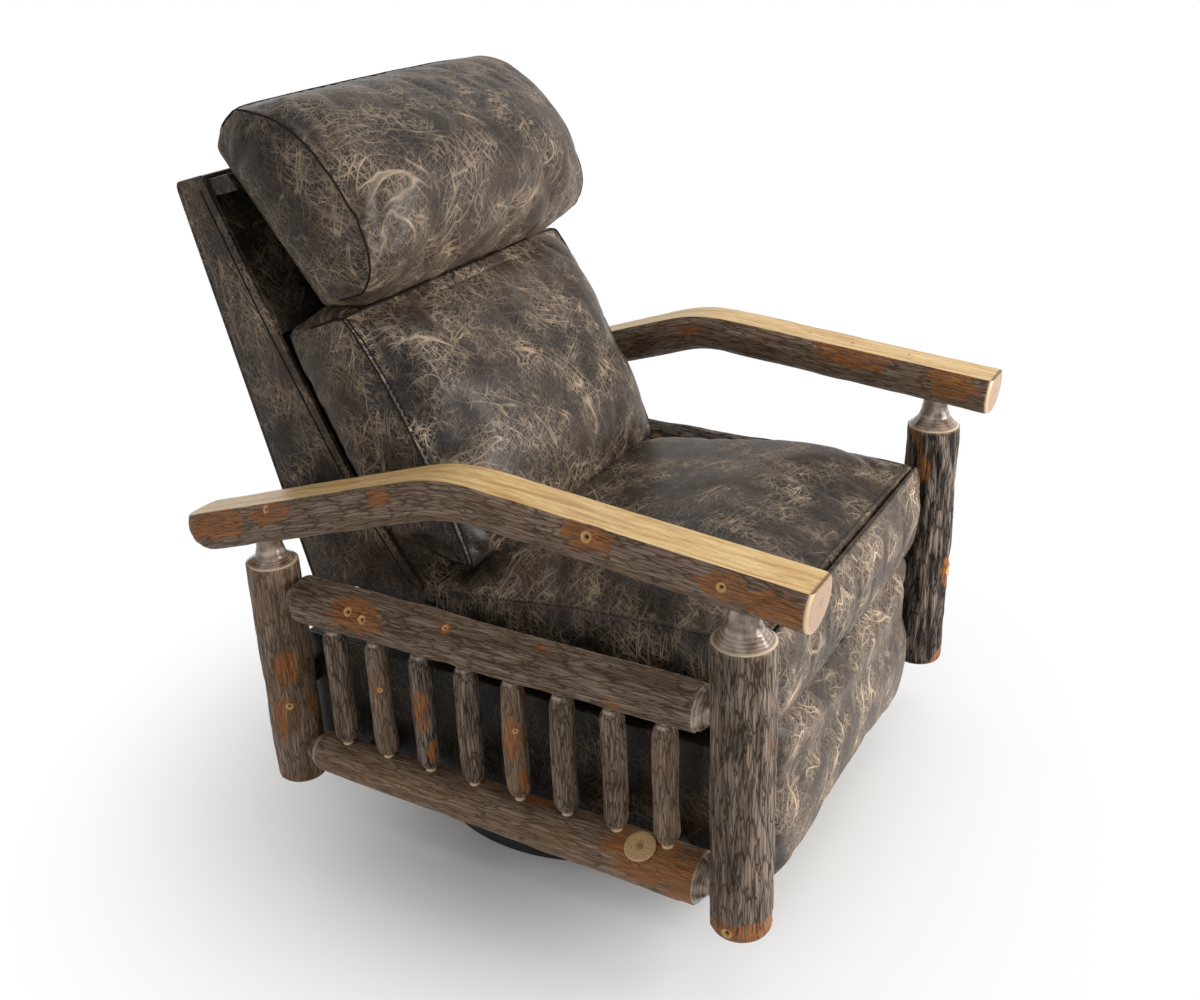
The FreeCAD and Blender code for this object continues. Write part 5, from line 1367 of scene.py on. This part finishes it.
        sheet(deep, rows, side(1))
        sheet(deep, rows, side(-1))
        sheet(wide, rows, rear)
        sheet(wide, deep, top)
        bmesh.ops.remove_doubles(mesh, verts=mesh.verts, dist=0.0004)
        bmesh.ops.recalc_face_normals(mesh, faces=mesh.faces)
        data = bpy.data.meshes.new("leather_shell")
        mesh.to_mesh(data)
        mesh.free()
        shell = new_object("leather_shell", data)
        biggest = max(shell.data.polygons, key=lambda f: f.center.y)
        if biggest.normal.y < 0:
            shell.data.flip_normals()
        seam = seam_lines(shell, "shell_welts", lambda a, b: True, 40)
        apply_modifier(shell, "Corner", "BEVEL", width=15 * MM, segments=4, limit_method="ANGLE",
                       angle_limit=0.7)
        apply_modifier(shell, "Hide", "SOLIDIFY", thickness=8 * MM, offset=-1.0)
        apply_modifier(shell, "Rim", "BEVEL", width=3.2 * MM, segments=3, limit_method="ANGLE",
                       angle_limit=0.9)
        take(shell)
        bpy.ops.object.shade_smooth()
        dress(shell, "back", "leather", (leather,), "back_cover")
        dress(welt(seam, shell, radius * 0.8, 0.2 * MM), "back", "leather", (leather,))
        for side, sign in SIDES.items():
            row = [on_back(station, shell_edge(station) - SHELL_FOLD)
                   for station in np.linspace(SHELL_EDGE[0][0] + 8, BACK_LENGTH - 12, 70)]
            line = bpy.data.meshes.new("%s_shell_stitches" % side)
            line.from_pydata([Vector((sign * (BACK_HALF + 3), y, z)) * MM for y, z in row],
                             [(i, i + 1) for i in range(len(row) - 1)], [])
            stitch = welt(new_object(line.name, line), shell, 1.2 * MM, 0.2 * MM)
            dress(stitch, "back", "leather", (thread,))


class RECLINER_OT_side_panels(Operator):
    """Leather panels on the two sides of the seat box"""

    bl_idname = "recliner.side_panels"
    bl_label = "Leather side panels"

    def execute(self, context):
        for side in SIDES:
            node = "%s_side_panel" % side
            low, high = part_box(node)
            begin()
            bpy.ops.mesh.primitive_cube_add(size=1.0)
            panel = bpy.context.object
            panel.name = "%s_leather_panel" % side
            panel.data.transform(Matrix.Diagonal((*(high - low), 1.0)))
            panel.data.transform(Matrix.Translation((low + high) / 2))
            apply_modifier(panel, "Round", "BEVEL", width=2.4 * MM, segments=3)
            edit_all(panel, lambda: bpy.ops.mesh.subdivide(number_cuts=40))
            points = points_of(panel)
            sign = SIDES[side]
            middle = (low.x + high.x) / 2
            for index, (x, y, z) in enumerate(points):
                if sign * (x - middle) > 0.4 * MM:
                    u = (y - low.y) / (high.y - low.y)
                    v = (z - low.z) / (high.z - low.z)
                    puff = 4.0 * max(pillow(u, v), 0.0) ** 0.4
                    ripple = 0.9 * noise.noise(Vector((y / 0.07, z / 0.03, 4.0 * sign)))
                    points[index, 0] = x + sign * (puff + ripple) * MM
            move_points(panel, points)
            take(panel)
            bpy.ops.object.shade_smooth()
            # The side panels take the darker copy of the leather: painted shade under the arms
            dress(panel, "chassis", "leather", (made("painted_shade_leather"),), node)
        return {"FINISHED"}


FINISHES = {
    "painted_shade_pine": ("left_side_board", "right_side_board", "left_seat_side_rail", "right_seat_side_rail",
                     "frame_spacers"),
    "stained_stretchers": ("front_stretcher", "rear_stretcher"),
    "sawn_pine": ("seat_front_rail", "seat_rear_rail", "left_back_stile", "right_back_stile",
                  "back_top_rail", "back_middle_rail", "back_bottom_rail", "footrest_board"),
    "plated_steel": ("guide_plates", "frame_bolts", "seat_springs", "left_carriage_plate",
                     "right_carriage_plate", "back_brackets", "rear_down_links", "link_cross_tube",
                     "rear_up_links", "front_down_links", "front_up_links", "tilt_links",
                     "footrest_brackets"),
    "black_enamel": ("base_ring", "base_spokes", "hub_plate", "lower_race", "upper_race", "swivel_plate",
                     "cross_tubes"),
    "bearing_steel": ("bearing_balls",),
}


class RECLINER_OT_hardware(Operator):
    """Finishes of the CAD pieces that show as they are"""

    bl_idname = "recliner.hardware"
    bl_label = "Hardware finishes"

    def execute(self, context):
        for finish, nodes in FINISHES.items():
            for name in nodes:
                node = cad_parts[name]
                node.data.materials.clear()
                node.data.materials.append(made(finish))
        return {"FINISHED"}


def white_to(tree):
    """1 for the rays that see the background as white: the camera's, glossy and transmission rays."""
    path = add_node(tree, "ShaderNodeLightPath")
    shiny = add_node(tree, "ShaderNodeMath", [
        (0, path.outputs["Is Glossy Ray"]), (1, path.outputs["Is Transmission Ray"])],
        operation="MAXIMUM").outputs[0]
    return add_node(tree, "ShaderNodeMath", [
        (0, path.outputs["Is Camera Ray"]), (1, shiny)], operation="MAXIMUM").outputs[0]


# Square soft lights: place, side in metres and watts; all face one point in the chair
LIGHTS = {
    "front_softbox": ((0.7, -3.3, 1.5), 2.0, 152.0),
    "top_softbox": ((0.5, -0.6, 3.4), 2.2, 20.0),
    "side_softbox": ((-3.0, -0.4, 1.7), 1.8, 17.0),
    "rear_softbox": ((0.9, 3.2, 2.2), 2.2, 22.0),
}
LIT_POINT = Vector((0, 0, 0.55))
# Strength of the white world as a light; rays that see the background take 1
WORLD_LIGHT = 0.24
FLOOR_RADIUS = 14.0


class RECLINER_OT_stage(Operator):
    """Floor, soft light and the camera"""

    bl_idname = "recliner.stage"
    bl_label = "Studio"

    def execute(self, context):
        stage = context.scene.recliner_stage
        self.make_floor(stage)
        for name, (place, size, power) in LIGHTS.items():
            self.make_light(name, place, size, power)
        world = bpy.data.worlds.new("studio")
        world.use_nodes = True
        tree = world.node_tree
        seen = white_to(tree)
        strength = add_node(tree, "ShaderNodeMapRange", [
            ("Value", seen), ("To Min", WORLD_LIGHT), ("To Max", 1.0)]).outputs[0]
        back = tree.nodes["Background"]
        back.inputs["Color"].default_value = (1.0, 1.0, 1.0, 1.0)
        tree.links.new(strength, back.inputs["Strength"])
        context.scene.world = world
        context.scene.view_settings.view_transform = "Standard"
        self.make_camera(stage)
        return {"FINISHED"}

    def make_floor(self, stage):
        begin()
        bpy.ops.mesh.primitive_circle_add(vertices=96, radius=FLOOR_RADIUS, fill_type="NGON")
        floor = bpy.context.object
        floor.name = "studio_floor"
        material, shader = new_material("studio_floor")
        tree = material.node_tree
        shader.inputs["Base Color"].default_value = tuple(stage.floor)
        shader.inputs["Roughness"].default_value = 0.8
        place = add_node(tree, "ShaderNodeTexCoord")
        far = add_node(tree, "ShaderNodeVectorMath", [
            (0, place.outputs["Object"])], operation="LENGTH").outputs["Value"]
        share = add_node(tree, "ShaderNodeMapRange", [
            ("Value", far), ("From Min", 0.2), ("From Max", 1.0)], interpolation_type="SMOOTHSTEP").outputs[0]
        seen = add_node(tree, "ShaderNodeMath", [
            (0, white_to(tree)), (1, share)], operation="MULTIPLY").outputs[0]
        white = add_node(tree, "ShaderNodeEmission", [("Color", (1.0, 1.0, 1.0, 1.0)), ("Strength", 1.0)])
        mixed = add_node(tree, "ShaderNodeMixShader", [
            (0, seen), (1, shader.outputs[0]), (2, white.outputs[0])])
        tree.links.new(mixed.outputs[0], tree.nodes["Material Output"].inputs["Surface"])
        floor.data.materials.append(material)

    def make_light(self, name, place, size, power):
        data = bpy.data.lights.new(name, "AREA")
        data.shape = "SQUARE"
        data.size = size
        data.energy = power
        lamp = new_object(name, data)
        lamp.location = place
        lamp.rotation_euler = (LIT_POINT - Vector(place)).to_track_quat("-Z", "Y").to_euler()

    def make_camera(self, stage):
        data = bpy.data.cameras.new("camera")
        data.sensor_width = 36.0
        data.sensor_fit = "HORIZONTAL"
        data.lens = stage.lens
        camera = new_object("camera", data)
        az = stage.azimuth
        el = stage.elevation
        back = Vector((math.sin(az) * math.cos(el), -math.cos(az) * math.cos(el), math.sin(el)))
        level = Vector((0, 0, 1)).cross(back).normalized()
        plumb = back.cross(level)
        right = math.cos(stage.roll) * level + math.sin(stage.roll) * plumb
        up = -math.sin(stage.roll) * level + math.cos(stage.roll) * plumb
        turned = Matrix((right, up, back)).transposed().to_4x4()
        camera.matrix_world = Matrix.Translation(stage.camera_place) @ turned
        bpy.context.scene.camera = camera


STEPS = (
    RECLINER_OT_materials, RECLINER_OT_posts, RECLINER_OT_rails, RECLINER_OT_spindles, RECLINER_OT_arms,
    RECLINER_OT_seat, RECLINER_OT_footrest, RECLINER_OT_back, RECLINER_OT_side_panels, RECLINER_OT_hardware,
    RECLINER_OT_stage,
)


class RECLINER_PT_steps(Panel):
    """Lists the steps that dress the recliner"""

    bl_label = "Recliner"
    bl_idname = "RECLINER_PT_steps"
    bl_space_type = "VIEW_3D"
    bl_region_type = "UI"
    bl_category = "Recliner"

    def draw(self, context):
        for step in STEPS:
            self.layout.operator(step.bl_idname)


LOOKS = {"recliner_logs": LogLooks, "recliner_leather": LeatherLooks, "recliner_stage": StageLooks}


def register():
    for name, group in LOOKS.items():
        bpy.utils.register_class(group)
        setattr(bpy.types.Scene, name, PointerProperty(type=group))
    for step in STEPS:
        bpy.utils.register_class(step)
    bpy.utils.register_class(RECLINER_PT_steps)


def unregister():
    bpy.utils.unregister_class(RECLINER_PT_steps)
    for step in reversed(STEPS):
        bpy.utils.unregister_class(step)
    for name, group in LOOKS.items():
        delattr(bpy.types.Scene, name)
        bpy.utils.unregister_class(group)


def main():
    register()
    for step in STEPS:
        group, name = step.bl_idname.split(".")
        getattr(getattr(bpy.ops, group), name)()


if __name__ == "__main__":
    main()
